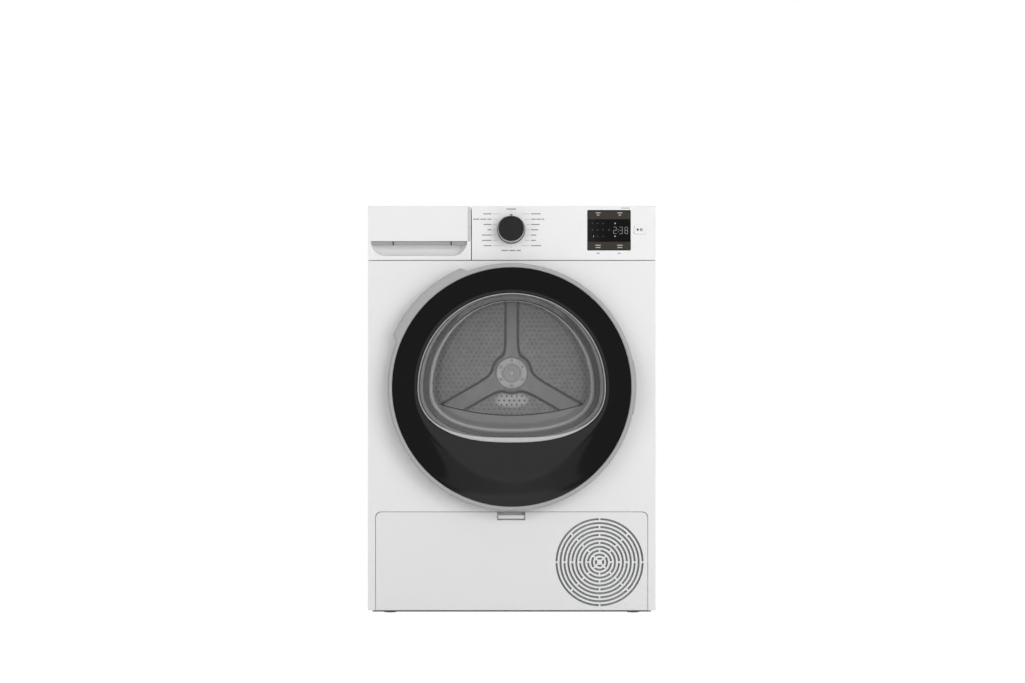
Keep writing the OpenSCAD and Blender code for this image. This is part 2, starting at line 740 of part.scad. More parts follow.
// Programme knob: black skirt and cap with the shaft behind.
module programme_knob() color([0.1, 0.1, 0.1]) {
    turned(knob_x, control_z) polygon([
        [0, front_y - knob_proud], [cap_r - 1, front_y - knob_proud], [cap_r, front_y - knob_proud + 1],
        [cap_r, front_y - 8], [knob_r, front_y - 5], [knob_r, front_y - 0.5], [0, front_y - 0.5]]);
    bar_y(knob_x, control_z, front_y - 0.5, front_y + 22, knob_shaft_r);
    block([knob_x - 2, knob_x + 2], [front_y - knob_proud + 7, front_y - 8],
        [control_z + knob_r - 4, control_z + knob_r - 0.6]);
}
module knob_ring() color("silver") difference() {
    turned(knob_x, control_z) polygon([
        [cap_r, front_y - knob_proud + 2], [knob_r - 2, front_y - knob_proud + 3],
        [knob_r - 1, front_y - 10], [cap_r, front_y - 9]]);
    block([knob_x - 2.2, knob_x + 2.2], [front_y - knob_proud, front_y],
        [control_z + knob_r - 5, control_z + knob_r + 1]);
}

// Start button with its plunger.
module start_button() color("white") {
    slab(front_y - 2, front_y + 8) button_shape(0);
    bar_y(button_x, control_z, front_y + 8, front_y + 15, 3);
}

// ---- Kick flap ----

// Flap with the ring grille; its pins turn in the base pan's eyes.
module flap_outline() {
    rounded([-flap_w / 2, flap_w / 2], [flap_z0 + 30, flap_top], flap_corner);
    translate([-flap_w / 2, flap_z0]) square([flap_w, 60]);
}
module grille_slots() {
    for (k = [0 : grille_rings - 1]) {
        r = 7.5 + ring_pitch * k;
        turn = k == 0 || k % 2 == 1 ? 45 : 0;
        translate([grille_x, grille_z]) rotate(turn) difference() {
            circle(r = r + slot_w / 2);
            circle(r = r - slot_w / 2);
            square([2 * r + 20, bridge_w], center = true);
            square([bridge_w, 2 * r + 20], center = true);
        }
    }
}
module kick_flap() color("white") {
    rim_top = flap_top - 6;
    difference() {
        union() {
            slab(front_y, front_y + flap_t) difference() {
                flap_outline();
                grille_slots();
            }
            slab(front_y + flap_t, front_y + 10) difference() {
                translate([-flap_w / 2 + 6, flap_z0 + 60]) square([flap_w - 12, rim_top - flap_z0 - 60]);
                translate([-flap_w / 2 + 8, flap_z0 + 50]) square([flap_w - 16, rim_top - flap_z0 - 52]);
            }
            block([tab_x0 - 6, tab_x0 + tab_w + 6], [front_y + flap_t, front_y + 16],
                [tab_z - 7, flap_top - 1]);
        }
        block([tab_x0 - 4, tab_x0 + tab_w + 4], [front_y + flap_t, front_y + 14.5],
            [tab_z - 5, flap_top + 1]);
        block([tab_x0 - 2, tab_x0 + tab_w + 2], [front_y - 1, front_y + flap_t + 1],
            [tab_z - 3, flap_top + 1]);
    }
    for (x = [-flap_eye_x, flap_eye_x]) {
        bar_x(flap_pivot_y, flap_pivot_z, x - 6, x + 6, flap_pin_r);
        for (cheek = [x - 6, x + 4])
            block([cheek, cheek + 2], [front_y + flap_t, flap_pivot_y + 3],
                [flap_pivot_z - 3, flap_pivot_z + 3]);
    }
}

// Sliding latch tab of the flap, pushed down to free it.
module flap_latch() color("white") {
    block([tab_x0, tab_x0 + tab_w], [front_y + 1, front_y + 12], [tab_z, tab_z + 2.5]);
    block([tab_x0, tab_x0 + tab_w], [front_y + 1, front_y + 3.5], [tab_z, tab_z + tab_h]);
}

// ---- Drum ----

// Drum shell, open in front, with a rolled rim.
module drum_shell() color("silver") turned(0, drum_z) polygon([
    [drum_r - rim_w, drum_front], [drum_r, drum_front], [drum_r, drum_rear + rear_wall_t],
    [drum_r - sheet, drum_rear + rear_wall_t], [drum_r - sheet, drum_front + sheet],
    [drum_r - rim_w, drum_front + sheet]]);

// Rear wall of the drum.
module drum_rear_wall() color("lightgray") difference() {
    bar_y(0, drum_z, drum_rear, drum_rear + rear_wall_t, drum_r - sheet);
    bar_y(0, drum_z, drum_rear - 1, drum_rear + 5, shaft_r);
}

// Three-armed spider with the drum's shaft.
module drum_spider() color("silver") {
    difference() {
        union() {
            for (a = arm_angles) translate([0, 0, drum_z]) rotate([0, -a, 0])
                block([0, drum_r - 14], [arm_y, drum_rear], [-arm_half, arm_half]);
            bar_y(0, drum_z, arm_y, drum_rear, hub_r);
        }
        hub_bars(arm_y - 1, drum_rear + 1, screw_r + 0.5);
    }
    bar_y(0, drum_z, drum_rear - 0.5, bearing_y + 14, shaft_r);
}

// Round plate over the hub and its six screws.
module hub_plate() color("gainsboro") difference() {
    bar_y(0, drum_z, arm_y - hub_plate_t, arm_y, hub_plate_r);
    hub_bars(arm_y - hub_plate_t - 1, drum_rear, screw_r + 0.5);
}
module hub_screws() color("gray") {
    hub_bars(arm_y - hub_plate_t - 2, arm_y - hub_plate_t, 4);
    hub_bars(arm_y - hub_plate_t, drum_rear - 1, screw_r + 0.4);
}
module hub_bars(y0, y1, r) for (a = [30 : 60 : 330])
    bar_y(hub_screw_ring * cos(a), drum_z + hub_screw_ring * sin(a), y0, y1, r);

// Three lifters that carry the laundry up.
module drum_lifters() color("whitesmoke") for (a = [30, 150, 270])
    translate([0, 0, drum_z]) rotate([0, -a, 0]) intersection() {
        hull() {
            block([drum_r - 14, drum_r - 1], [drum_front + 26, drum_rear - 12], [-38, 38]);
            block([drum_r - 62, drum_r - 50], [drum_front + 60, drum_rear - 50], [-10, 10]);
        }
        translate([0, drum_rear, 0]) rotate([90, 0, 0]) cylinder(h = drum_l, r = drum_r - sheet - 0.1);
    }

// Grooved roller that carries the drum's front rim.
module support_roller(side) color("gray") difference() {
    bar_y(roller_x(side), roller_z(), roller_y, roller_y + roller_w, roller_r);
    bar_y(roller_x(side), roller_z(), roller_y - 1, roller_y + roller_w + 1, roller_pin_r + fit);
}

// ---- Feet, screws and spigot ----

// Levelling foot: rubber pad and threaded stem.
module levelling_foot(x, y) color("black") {
    translate([x, y, 0]) cylinder(h = foot_pad_h, r = foot_pad_r);
    translate([x, y, foot_pad_h]) cylinder(h = base_z + 0.5 - foot_pad_h, r = foot_boss_r);
    translate([x, y, base_z]) cylinder(h = 34, r = foot_stem_r);
}

// Places of the rear screws.
function screw_places() = concat(
    [for (z = [90, 420, 800], s = [-1, 1]) [s * (half_w - 22), z]],
    [for (z = [130, 795], x = [-120, 120]) [x, z]]);
module panel_screws() color("gray") for (p = screw_places()) {
    bar_y(p[0], p[1], rear_y, rear_y + 2.4, 4.5);
    bar_y(p[0], p[1], rear_y - 6, rear_y, screw_r);
}

// Spigot for the drain hose.
module drain_spigot() color("white") difference() {
    union() {
        bar_y(spigot_x, spigot_z, rear_y - 12, rear_y, spigot_r);
        bar_y(spigot_x, spigot_z, rear_y, rear_y + 2, 14);
        bar_y(spigot_x, spigot_z, rear_y + 2, rear_y + rear_cover_d - 1, spigot_r);
    }
    bar_y(spigot_x, spigot_z, rear_y - 13, rear_y + 30, spigot_bore);
}

base_pan();
side_panel(-1);  // left_side_panel
side_panel(1);  // right_side_panel
rear_panel();
rear_duct_cover();
worktop();
front_panel();
control_panel();
display_window();
control_board();
knob_encoder();
tank_guide();
front_bulkhead();
door_seal();
lint_filter();
rear_bulkhead();
drum_bearing();
drive_belt();
motor_body();
process_fan_housing();
compressor();
heat_exchanger();
refrigerant_pipes();
condensate_pump();
exchanger_cover();
cooling_fan_frame();
hinge_bracket();
door_catch();
drain_spigot();
panel_screws();
door_ring();
door_trim();
door_window();
door_inner_frame();
door_hinge_arm();
door_latch_hook();
drawer_front();
water_tank();
programme_knob();
knob_ring();
start_button();
kick_flap();
flap_latch();
drum_shell();
drum_rear_wall();
drum_spider();
hub_plate();
hub_screws();
drum_lifters();
motor_shaft();
fan_wheel();
support_roller(-1);  // left_support_roller
support_roller(1);  // right_support_roller
cooling_fan_rotor();
cover_lock(lock_x[0]);  // left_cover_lock
cover_lock(lock_x[1]);  // right_cover_lock
levelling_foot(-foot_x, foot_y[0]);  // foot_front_left
levelling_foot(foot_x, foot_y[0]);  // foot_front_right
levelling_foot(-foot_x, foot_y[1]);  // foot_rear_left
levelling_foot(foot_x, foot_y[1]);  // foot_rear_right
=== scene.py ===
# %% [markdown]
# # A condenser clothes dryer, finished piece by piece
# The frame holds every part of the machine at its real size. This lesson gives the parts
# that are seen their finished surfaces: the cabinet's enamel, the door with its dished
# trim and clear bowl, the drum behind it, the knob, the display and the kick flap.
# Nothing is measured twice: each new surface takes its place from the frame's boxes.

# %% Load the frame
import bmesh
import bpy
import numpy as np
from math import pi, radians
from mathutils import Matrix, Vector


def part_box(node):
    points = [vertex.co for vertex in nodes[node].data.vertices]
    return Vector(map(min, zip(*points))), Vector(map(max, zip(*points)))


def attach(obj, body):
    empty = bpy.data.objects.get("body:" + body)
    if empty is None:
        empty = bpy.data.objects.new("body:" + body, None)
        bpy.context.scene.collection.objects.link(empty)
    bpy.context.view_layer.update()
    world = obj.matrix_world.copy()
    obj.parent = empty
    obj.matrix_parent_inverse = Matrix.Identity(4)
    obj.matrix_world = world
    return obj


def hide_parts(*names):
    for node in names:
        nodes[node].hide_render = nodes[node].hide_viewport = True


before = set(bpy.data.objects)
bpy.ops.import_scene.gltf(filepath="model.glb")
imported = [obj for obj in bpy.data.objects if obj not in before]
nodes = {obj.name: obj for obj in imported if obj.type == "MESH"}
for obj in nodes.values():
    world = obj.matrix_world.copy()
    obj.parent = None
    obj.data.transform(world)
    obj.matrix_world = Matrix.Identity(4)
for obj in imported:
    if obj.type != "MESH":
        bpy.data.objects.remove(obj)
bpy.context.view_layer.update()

MM = 0.001
scene = bpy.context.scene


# %% [markdown]
# The camera stands straight in front, a little below the middle of the door, about three
# and a half metres away. A lens shift, and no tilt, keeps the upright edges parallel.

# %% Camera
VIEW_WIDTH = 2127.4 * MM               # in view at the front panel
DISTANCE, EYE_HEIGHT, SENSOR = 3.45, 0.424, 36
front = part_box("front_panel")[0].y
camera_data = bpy.data.cameras.new("camera")
camera_data.sensor_width = SENSOR
camera_data.lens = SENSOR * DISTANCE / VIEW_WIDTH
camera_data.shift_x, camera_data.shift_y = 0.0008, 0.0668
camera = bpy.data.objects.new("camera", camera_data)
camera.location = (0, front - DISTANCE, EYE_HEIGHT)
camera.rotation_euler = (radians(90), 0, 0)
scene.collection.objects.link(camera)
scene.camera = camera
print("lens", round(camera_data.lens, 1), "mm")


# %% [markdown]
# The studio is plain: a pale floor, a dim grey room, two large soft lights at the sides,
# one above and two behind. Two weak panels in front have no work but the broad sheen on
# the black trim, and a small lamp in the loading throat lights the drum. The room looks
# white to the camera alone, so that gloss has something dark to mirror, as in a real
# studio with black flags.

# %% Studio
def soft_light(name, place, aim, size, watts, tall=None):
    """A rectangular light at place whose face is turned towards aim."""
    data = bpy.data.lights.new(name, "AREA")
    data.shape, data.size, data.size_y, data.energy = "RECTANGLE", size, tall or size, watts
    light = bpy.data.objects.new(name, data)
    light.location = place
    direction = light.location - type(light.location)(aim)
    light.rotation_euler = direction.to_track_quat("Z", "Y").to_euler()
    scene.collection.objects.link(light)
    return light


key = soft_light("key_right", (1.9, -3.6, 1.4), (0, -0.3, 0.45), 2.4, 62)
fill = soft_light("fill_left", (-1.9, -3.6, 1.3), (0, -0.3, 0.45), 2.4, 26)
key.visible_glossy = fill.visible_glossy = False
soft_light("overhead", (0, -1.2, 3.4), (0, -0.4, 0.2), 2.6, 11)
soft_light("top_behind", (0, 1.6, 3.2), (0, 0.1, 0.8), 2.0, 42)
soft_light("back_fill", (0, 3.6, 1.6), (0, 0.3, 0.4), 2.4, 36)
soft_light("sheen_above", (0, -3.9, 1.95), (0, -0.3, 0.5), 1.5, 1.3, tall=0.9).visible_camera = False
soft_light("sheen_middle", (0, -3.2, 0.76), (0, -0.3, 0.76), 0.58, 1.1, tall=1.04).visible_camera = False
soft_light("drum_lamp", (0, -0.19, 0.50), (0, 0.2, 0.50), 0.46, 0.24, tall=0.40).visible_camera = False

world = bpy.data.worlds.new("room")
world.use_nodes = True
scene.world = world
scene.view_settings.view_transform = "Standard"


def linear(code):
    """An sRGB hex colour as linear red, green, blue and 1."""
    channels = np.array([int(code[i:i + 2], 16) for i in (1, 3, 5)]) / 255
    low, high = channels / 12.92, ((channels + 0.055) / 1.055) ** 2.4
    return (*np.where(channels <= 0.04045, low, high), 1.0)


def add(tree, kind, inputs={}, **settings):
    """Adds a node: settings go on the node, and inputs on its sockets. An input is a value,
    a socket to link, or a node whose first output is linked."""
    node = tree.nodes.new(kind)
    for name, value in settings.items():
        setattr(node, name, value)
    for name, value in inputs.items():
        if isinstance(value, bpy.types.Node):
            value = value.outputs[0]
        if isinstance(value, bpy.types.NodeSocket):
            tree.links.new(value, node.inputs[name])
        else:
            node.inputs[name].default_value = value
    return node


room = world.node_tree
room.nodes.clear()
ray = add(room, "ShaderNodeLightPath")
WHITE = linear("#FFFFFF")
soft = add(room, "ShaderNodeBackground", {"Color": WHITE, "Strength": 0.30})
mirrored = add(room, "ShaderNodeBackground", {"Color": WHITE, "Strength": 0.20})
dim = add(room, "ShaderNodeMixShader",
          {0: ray.outputs["Is Glossy Ray"], 1: soft, 2: mirrored})
bright = add(room, "ShaderNodeBackground", {"Color": WHITE, "Strength": 1.0})
seen = add(room, "ShaderNodeMixShader",
           {0: ray.outputs["Is Camera Ray"], 1: dim, 2: bright})
add(room, "ShaderNodeOutputWorld", {"Surface": seen})


# %% [markdown]
# Every finish starts from one shader. Colours are written as hex codes, as on a paint
# chart, and turned to linear light once. `finish` makes a material, gives it a fine grain
# of roughness and a bump whose spacing is a real size in millimetres, and returns what a
# special finish needs to add more.

# %% Finishes: the common start
def finish(name, colour, roughness, grain_mm, bump_mm, metallic=0.0, ior=1.5, spread=0.06):
    """A material whose roughness varies by spread over patches ten grains wide, with a bump
    bump_mm deep at the grain's spacing. Returns the material, its tree and its shader."""
    material = bpy.data.materials.new(name)
    material.use_nodes = True
    tree = material.node_tree
    tree.nodes.clear()
    place = add(tree, "ShaderNodeTexCoord").outputs["Object"]
    patches = add(tree, "ShaderNodeTexNoise", {"Vector": place, "Scale": 100 / grain_mm, "Detail": 3.0})
    rough = add(tree, "ShaderNodeMapRange", {"Value": patches.outputs["Fac"], "From Min": 0.3,
        "From Max": 0.7, "To Min": roughness - spread, "To Max": roughness + spread})
    grain = add(tree, "ShaderNodeTexNoise", {"Vector": place, "Scale": 1000 / grain_mm, "Detail": 2.0})
    bump = add(tree, "ShaderNodeBump", {"Height": grain.outputs["Fac"], "Distance": bump_mm * MM,
        "Strength": 1.0})
    shader = add(tree, "ShaderNodeBsdfPrincipled", {"Base Color": linear(colour), "Metallic": metallic,
        "IOR": ior, "Roughness": rough.outputs["Result"], "Normal": bump.outputs["Normal"]})
    add(tree, "ShaderNodeOutputMaterial", {"Surface": shader})
    return material, tree, shader


def wear(*names):
    """Puts a material on CAD nodes: wear(material, "node", ...)."""
    material, *members = names
    for member in members:
        nodes[member].data.materials.clear()
        nodes[member].data.materials.append(material)


# %% [markdown]
# Powder-coated steel has a faint orange peel, about two millimetres from crest to crest,
# which softens every reflection. The plastic fascia beside it is spark-eroded ABS: the
# same white, a much finer grain and a little less gloss.

# %% Cabinet finishes
# Powder baked on steel: an even white with a soft, slightly broken gloss.
enamel = finish("white_powder_coat", "#F0F0F0", 0.34, 2.2, 0.012)[0]
# ABS moulded in a sparked tool: finer grain, so a duller, smoother white.
fascia = finish("white_abs_fascia", "#F3F3F3", 0.40, 0.9, 0.006)[0]
# Melamine pressed on board: a faint tooth and a broad sheen on the top.
board = finish("white_laminate_worktop", "#F2F3F3", 0.38, 1.4, 0.010)[0]
# Hot-dipped steel: zinc freezes in flowers, seen as cloudy patches of gloss.
zinc = finish("galvanised_sheet", "#B9BCBE", 0.42, 6.0, 0.010, metallic=0.85, spread=0.10)[0]
# Moulded ABS for hidden work: dark and matt, so that it stays in shadow. It also draws the painted shadow
# line along the throat's lip.
dark_abs_and_painted_shade = finish("dark_grey_abs_and_painted_shade", "#3A3B3D", 0.55, 0.8, 0.010)[0]
# Polypropylene moulding under the body: waxy mid grey, hardly any gloss.
plinth = finish("grey_polypropylene_base", "#A2A2A2", 0.55, 0.8, 0.010)[0]
# Moulded grey ABS ducts and covers: even, with a low sheen.
grey_abs = finish("grey_abs", "#8E9092", 0.50, 0.8, 0.008)[0]
# Pale polypropylene: milky light grey, a little waxy.
pale_abs = finish("pale_grey_polypropylene", "#C9C9C8", 0.45, 0.9, 0.008)[0]
# Steel cut on a lathe: bright metal, its highlights blurred by tool marks.
turned_steel = finish("turned_steel", "#A9AAAC", 0.30, 0.6, 0.004, metallic=1.0)[0]
# Enamel baked on the compressor: near black with a clear, soft shine.
black_enamel = finish("baked_black_enamel", "#141415", 0.35, 1.5, 0.010)[0]
# Rubber pressed in a mould: black that gives back almost no light.
rubber = finish("moulded_black_rubber", "#1C1C1D", 0.62, 0.7, 0.012)[0]
# Extruded EPDM: dark grey and dry, which outlines the opening.
seal_rubber = finish("grey_epdm_seal", "#55575A", 0.55, 0.8, 0.010)[0]
# Polypropylene flap: a touch greyer than the enamel round it.
flap_white = finish("white_pp_kick_flap", "#EDEDED", 0.42, 0.9, 0.006)[0]
wear(enamel, "left_side_panel", "right_side_panel", "front_panel")
wear(fascia, "control_panel", "drawer_front", "start_button", "flap_latch")
wear(flap_white, "kick_flap")
wear(board, "worktop")
wear(zinc, "rear_panel", "rear_duct_cover", "rear_bulkhead")
wear(plinth, "base_pan")
wear(dark_abs_and_painted_shade, "condensate_pump", "cooling_fan_frame", "cooling_fan_rotor", "fan_wheel",
     "door_catch", "left_support_roller", "right_support_roller", "knob_encoder")
wear(grey_abs, "tank_guide", "process_fan_housing", "exchanger_cover", "drum_bearing")
wear(pale_abs, "lint_filter", "door_inner_frame", "drain_spigot")
# Moulded bulkhead: a flat mid grey that frames the drum.
bulkhead_grey = finish("grey_moulded_bulkhead", "#A4A4A3", 0.50, 0.9, 0.010)[0]
wear(bulkhead_grey, "front_bulkhead")
wear(turned_steel, "motor_body", "motor_shaft", "hinge_bracket", "door_hinge_arm",
     "door_latch_hook", "panel_screws")
wear(black_enamel, "compressor")
wear(rubber, "drive_belt", "foot_front_left", "foot_front_right", "foot_rear_left", "foot_rear_right")
wear(seal_rubber, "door_seal")
print("cabinet finishes:", len(bpy.data.materials))


# %% [markdown]
# Inside sit a few pieces that show only when the flap or the drawer is open: the fins of
# the heat pump, its copper pipes, the circuit board, the blue locks and the milky tank.

# %% Finishes of the inner pieces
# Aluminium foil, rolled and stacked: a silvery block with fine glints.
fins = finish("rolled_aluminium_fins", "#C4C6C8", 0.35, 1.0, 0.004, metallic=1.0)[0]
# Copper drawn through a die: smooth, warm and bright.
copper = finish("drawn_copper_tube", "#B8734F", 0.30, 1.2, 0.003, metallic=1.0)[0]
# Lacquered glass-fibre board: deep green with an even gloss.
circuit = finish("green_circuit_board", "#1E5A38", 0.40, 0.8, 0.004)[0]
# Blue acetal, moulded: the one strong colour, to be found by hand.
lock_blue = finish("blue_acetal_lock", "#2F6FB5", 0.38, 0.8, 0.004)[0]
# Blow-moulded polypropylene: cool, milky white with a waxy shine.
milky = finish("milky_polypropylene_tank", "#DCE3E6", 0.40, 1.2, 0.006)[0]
wear(fins, "heat_exchanger")
wear(copper, "refrigerant_pipes")
wear(circuit, "control_board")
wear(lock_blue, "left_cover_lock", "right_cover_lock")
wear(milky, "water_tank")


# %% [markdown]
# Most new surfaces here are lofts: a stack of closed outlines, each one a ring of points.
# One function turns the whole array into a mesh. The rings may close on themselves, like
# a tyre, or be capped at both ends. Real lengths in metres go into the UV map, so that a
# pattern can be laid along the surface at its true size.

# %% Lofting helper
def loft(name, rings, material, body, cap_first=False, cap_last=False, looped=False, crease=40):
    """rings is an array of stations x points x 3. Quad (i, j) joins points j and j+1 of
    stations i and i+1. u runs round a ring and v from ring to ring, both in metres."""
    rings = np.asarray(rings, float)
    stations, count = rings.shape[:2]
    i = np.arange(stations if looped else stations - 1)[:, None]
    j = np.arange(count)[None, :]
    after, beside = (i + 1) % stations, (j + 1) % count
    quads = np.stack([i * count + j, i * count + beside, after * count + beside,
                      after * count + j], -1).reshape(-1, 4)
    faces = quads.tolist()
    if cap_first:
        faces.append(list(range(count))[::-1])
    if cap_last:
        faces.append(list(range((stations - 1) * count, stations * count)))
    mesh = bpy.data.meshes.new(name)
    mesh.from_pydata(rings.reshape(-1, 3).tolist(), [], faces)
    around = np.linalg.norm(np.roll(rings, -1, 1) - rings, axis=2).mean(0)
    along = np.linalg.norm(np.roll(rings, -1, 0) - rings, axis=2).mean(1)
    u = np.concatenate([[0], np.cumsum(around)])
    v = np.concatenate([[0], np.cumsum(along)])
    corners = np.stack([np.stack([u[j + du] + 0 * i, v[i + dv] + 0 * j], -1)
                        for du, dv in ((0, 0), (1, 0), (1, 1), (0, 1))], 2).reshape(-1, 2)
    flat = np.zeros((len(mesh.loops), 2))
    flat[:len(corners)] = corners
    mesh.uv_layers.new(name="lengths").data.foreach_set("uv", flat.ravel())
    mesh.materials.append(material)
    mesh.polygons.foreach_set("use_smooth", np.ones(len(mesh.polygons), bool))
    mesh.set_sharp_from_angle(angle=radians(crease))
    piece = bpy.data.objects.new(name, mesh)
    scene.collection.objects.link(piece)
    face_out(piece)
    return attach(piece, body)


def face_out(piece):
    """Turns every face of a closed shell outwards."""
    shell = bmesh.new()
    shell.from_mesh(piece.data)
    bmesh.ops.recalc_face_normals(shell, faces=shell.faces)
    shell.to_mesh(piece.data)
    shell.free()


def turned(profile, centre, count=192):
    """Rings of a profile of (radius, y) turned round an axis along Y through centre (x, z)."""
    profile = np.asarray(profile, float)
    angle = np.linspace(0, 2 * pi, count, endpoint=False)
    radius, y = profile[:, :1], profile[:, 1:]
    return np.stack([centre[0] + radius * np.cos(angle), y + 0 * angle,
                     centre[1] + radius * np.sin(angle)], -1)


def from_base(radius, *steps):
    """Points (radius, y) in metres from steps of (millimetres inside radius, a base y, and
    millimetres behind that y)."""
    return [[radius - inside * MM, base + behind * MM] for inside, base, behind in steps]


def rounded_path(points, radius=0.001, steps=5):
    """A line through points of (radius, y) whose corners are replaced by arcs: each arc is a
    quadratic curve from a point before the corner to a point after it."""
    points = np.asarray(points, float)
    out = [points[0]]
    for a, b, c in zip(points[:-2], points[1:-1], points[2:]):
        la, lc = np.linalg.norm(a - b), np.linalg.norm(c - b)
        start, end = b + (a - b) * min(radius / la, 0.45), b + (c - b) * min(radius / lc, 0.45)
        t = np.linspace(0, 1, steps)[:, None]
        out.extend((1 - t) ** 2 * start + 2 * t * (1 - t) * b + t ** 2 * end)
    out.append(points[-1])
    return np.array(out)


# %% [markdown]
# The door's outer ring is a lacquered moulding. It could be a plain turned part, but the
# grip at the upper left breaks the circle, so the ring's radius is a function of the
# angle: it rises smoothly from the circle to the grip and back. The section has a flat
# face, a soft edge and a side that flares towards the cabinet. At the hinge the side is
# cut away to a shallow rim, so that the door can swing past its bracket.

# %% Door: sizes from the frame
ring_low, ring_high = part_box("door_ring")
trim_low, trim_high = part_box("door_trim")
glass_low, glass_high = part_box("door_window")
door_centre = (0.0, (trim_low.z + trim_high.z) / 2)
ring_r = ring_high.x
trim_r = trim_high.x
face_y = ring_low.y
lug_r = ring_r + 11 * MM
window_r = glass_high.x + 0.5 * MM
window_low = door_centre[1] - glass_low.z + 0.5 * MM
print("door centre", door_centre, "ring", round(ring_r, 4),
      "window", round(window_r, 4), round(window_low, 4))


def ease(value, start, end):
    """0 before start, 1 after end, and a smooth cubic between them."""
    t = np.clip((value - start) / (end - start), 0, 1)
    return t * t * (3 - 2 * t)


def ring_rings(count=720):
    """The ring's section carried round the circle. Each point of the section is (radius
    below the rim, y, share of the grip's rise)."""
    angle = np.linspace(0, 360, count, endpoint=False)
    rise = (lug_r - ring_r) * ease(angle, 110.1, 113.9) * (1 - ease(angle, 155.6, 159.3))
    inner = (ring_r - trim_r) / MM
    section = np.array([
        [inner - 0.3, 1.6, 0], [inner - 0.9, 0.5, 0], [inner - 2.0, 0, 0], [4.6, 0, 1], [3.6, 0.3, 1],
        [2.9, 1.2, 1], [2.5, 3, 1], [0.7, 13, 1], [0.5, 17, 1], [1.2, 19, 1], [3.0, 20, 0.6], [1.0, 21, 0],
        [0, 24, 0], [0, 29, 0], [1.2, 32, 0], [4.0, 33, 0], [4.6, 31, 0], [4.6, 6, 0], [6.0, 4.2, 0],
        [inner - 0.3, 4.0, 0]]) * [MM, MM, 1]
    radius = ring_r - section[:, :1] + section[:, 2:] * rise
    turn = np.radians(angle)
    from_hinge = np.abs((angle + 180) % 360 - 180)
    side_depth = 2.4 * MM + 31 * MM * ease(from_hinge, 12.2, 12.9)
    depth = np.minimum(section[:, 1:2], side_depth + section[:, 1:2] * 0.01)
    return np.stack([radius * np.cos(turn), face_y + depth, door_centre[1] + radius * np.sin(turn)], -1)


# ABS sprayed with silver lacquer: tiny flakes give a grey, barely metallic sheen.
lacquer = finish("silver_lacquered_abs", "#B4B4B4", 0.36, 0.7, 0.003, metallic=0.15)[0]
silver_ring = loft("silver_ring", ring_rings(), lacquer, "door", looped=True, crease=50)
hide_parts("door_ring")
print("silver ring:", len(silver_ring.data.polygons), "faces")


# %% [markdown]
# The window is half a circle above the middle line and a squarer curve, a superellipse,
# below it. The trim is the sheet between that outline and the ring. It could be cut from
# a turned dish, but then its inner edge would rise and fall; here each point slides from
# the circle to the window along a straight line, and the depth depends only on how far it
# has gone, so the dish meets the glass at one depth all round.

# %% Door: the dished trim
def window_outline(angle, side, top, low, power=2.4):
    """Points (x, z) about the door's centre: a superellipse whose power is 2 above the
    middle line and a squarer power below it."""
    c, s = np.cos(angle), np.sin(angle)
    upper = s >= 0
    p = np.where(upper, 2.0, power)
    height = np.where(upper, top, low)
    return np.stack([side * np.sign(c) * np.abs(c) ** (2 / p),
                     height * np.sign(s) * np.abs(s) ** (2 / p)], -1)


def matched_angles(count=360):
    """Angles for the circle and for the window's outline that go round together: the
    circle's are even, and the window's lie midway between equal lengths along the outline
    and equal turns as seen from the centre."""
    fine = np.linspace(0, 2 * pi, 20001)
    outline = window_outline(fine, window_r, window_r, window_low)
    step = np.linalg.norm(np.diff(outline, axis=0), axis=1)
    length = np.concatenate([[0], np.cumsum(step)]) / step.sum()
    looks = np.unwrap(np.arctan2(outline[:, 1], outline[:, 0])) / (2 * pi)
    mixed = 0.5 * length + 0.5 * looks
    even = np.linspace(0, 1, count, endpoint=False)
    return 2 * pi * even, np.interp(even, mixed, fine)


WINDOW_Y = glass_low.y - 1.0 * MM
circle_angle, outline_angle = matched_angles()
edge = window_outline(outline_angle, window_r, window_r, window_low)
rim = trim_r * np.stack([np.cos(circle_angle), np.sin(circle_angle)], -1)


def trim_rings():
    """Front skin from the ring to the window, a rolled edge into the throat, and the back
    skin 2.5 mm behind. The dish's depth follows a quarter sine of the way across."""
    t = np.linspace(0, 1, 40)
    depth = face_y + 1.0 * MM + (WINDOW_Y - face_y - 1.0 * MM) * np.sin(t * pi / 2) ** 1.15
    plan = rim[None] + (edge - rim)[None] * t[:, None, None]
    skin = np.stack([plan[..., 0], depth[:, None] + 0 * plan[..., 0], door_centre[1] + plan[..., 1]], -1)
    lip = []
    for inset, down in ((0.5, 0.25), (0.8, 0.9), (0.8, 3.0)):
        inner = edge * (1 - inset * MM / window_r)
        lip.append(np.stack([inner[:, 0], 0 * inner[:, 0] + WINDOW_Y + down * MM,
                             door_centre[1] + inner[:, 1]], -1))
    back = skin[::-1].copy()
    back[..., 1] += 2.5 * MM
    back[0, :, 1] += 0.6 * MM
    return np.concatenate([skin, np.array(lip), back[:-1]])


# ABS from a polished tool: black, and so smooth that it mirrors the lights.
gloss_black = finish("polished_black_abs", "#0B0B0C", 0.09, 1.8, 0.002, spread=0.02)[0]
dished_trim = loft("dished_trim", trim_rings(), gloss_black, "door", looped=True, crease=35)
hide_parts("door_trim")
print("dished trim:", len(dished_trim.data.polygons), "faces, window at y", round(WINDOW_Y, 4))


# %% [markdown]
# The window's bowl is one pressed sheet of clear plastic, three millimetres thick. It
# leaves the trim as a bright rolled rim, steps back, tapers into the loading throat and
# ends in a flat floor. The section is listed as steps of inset and depth; the outline
# shrinks by the inset, and the inner skin follows a wall's thickness behind.

# %% Door: the clear bowl
def bowl_ring(inset, y, lift=0.0):
    """The window's outline drawn in by inset, less so at the bottom by lift."""
    shape = window_outline(outline_angle, window_r - inset, window_r - inset * 0.45,
                           window_low - inset * 0.95 + lift)
    return np.stack([shape[:, 0], 0 * shape[:, 0] + y, door_centre[1] + shape[:, 1]], -1)


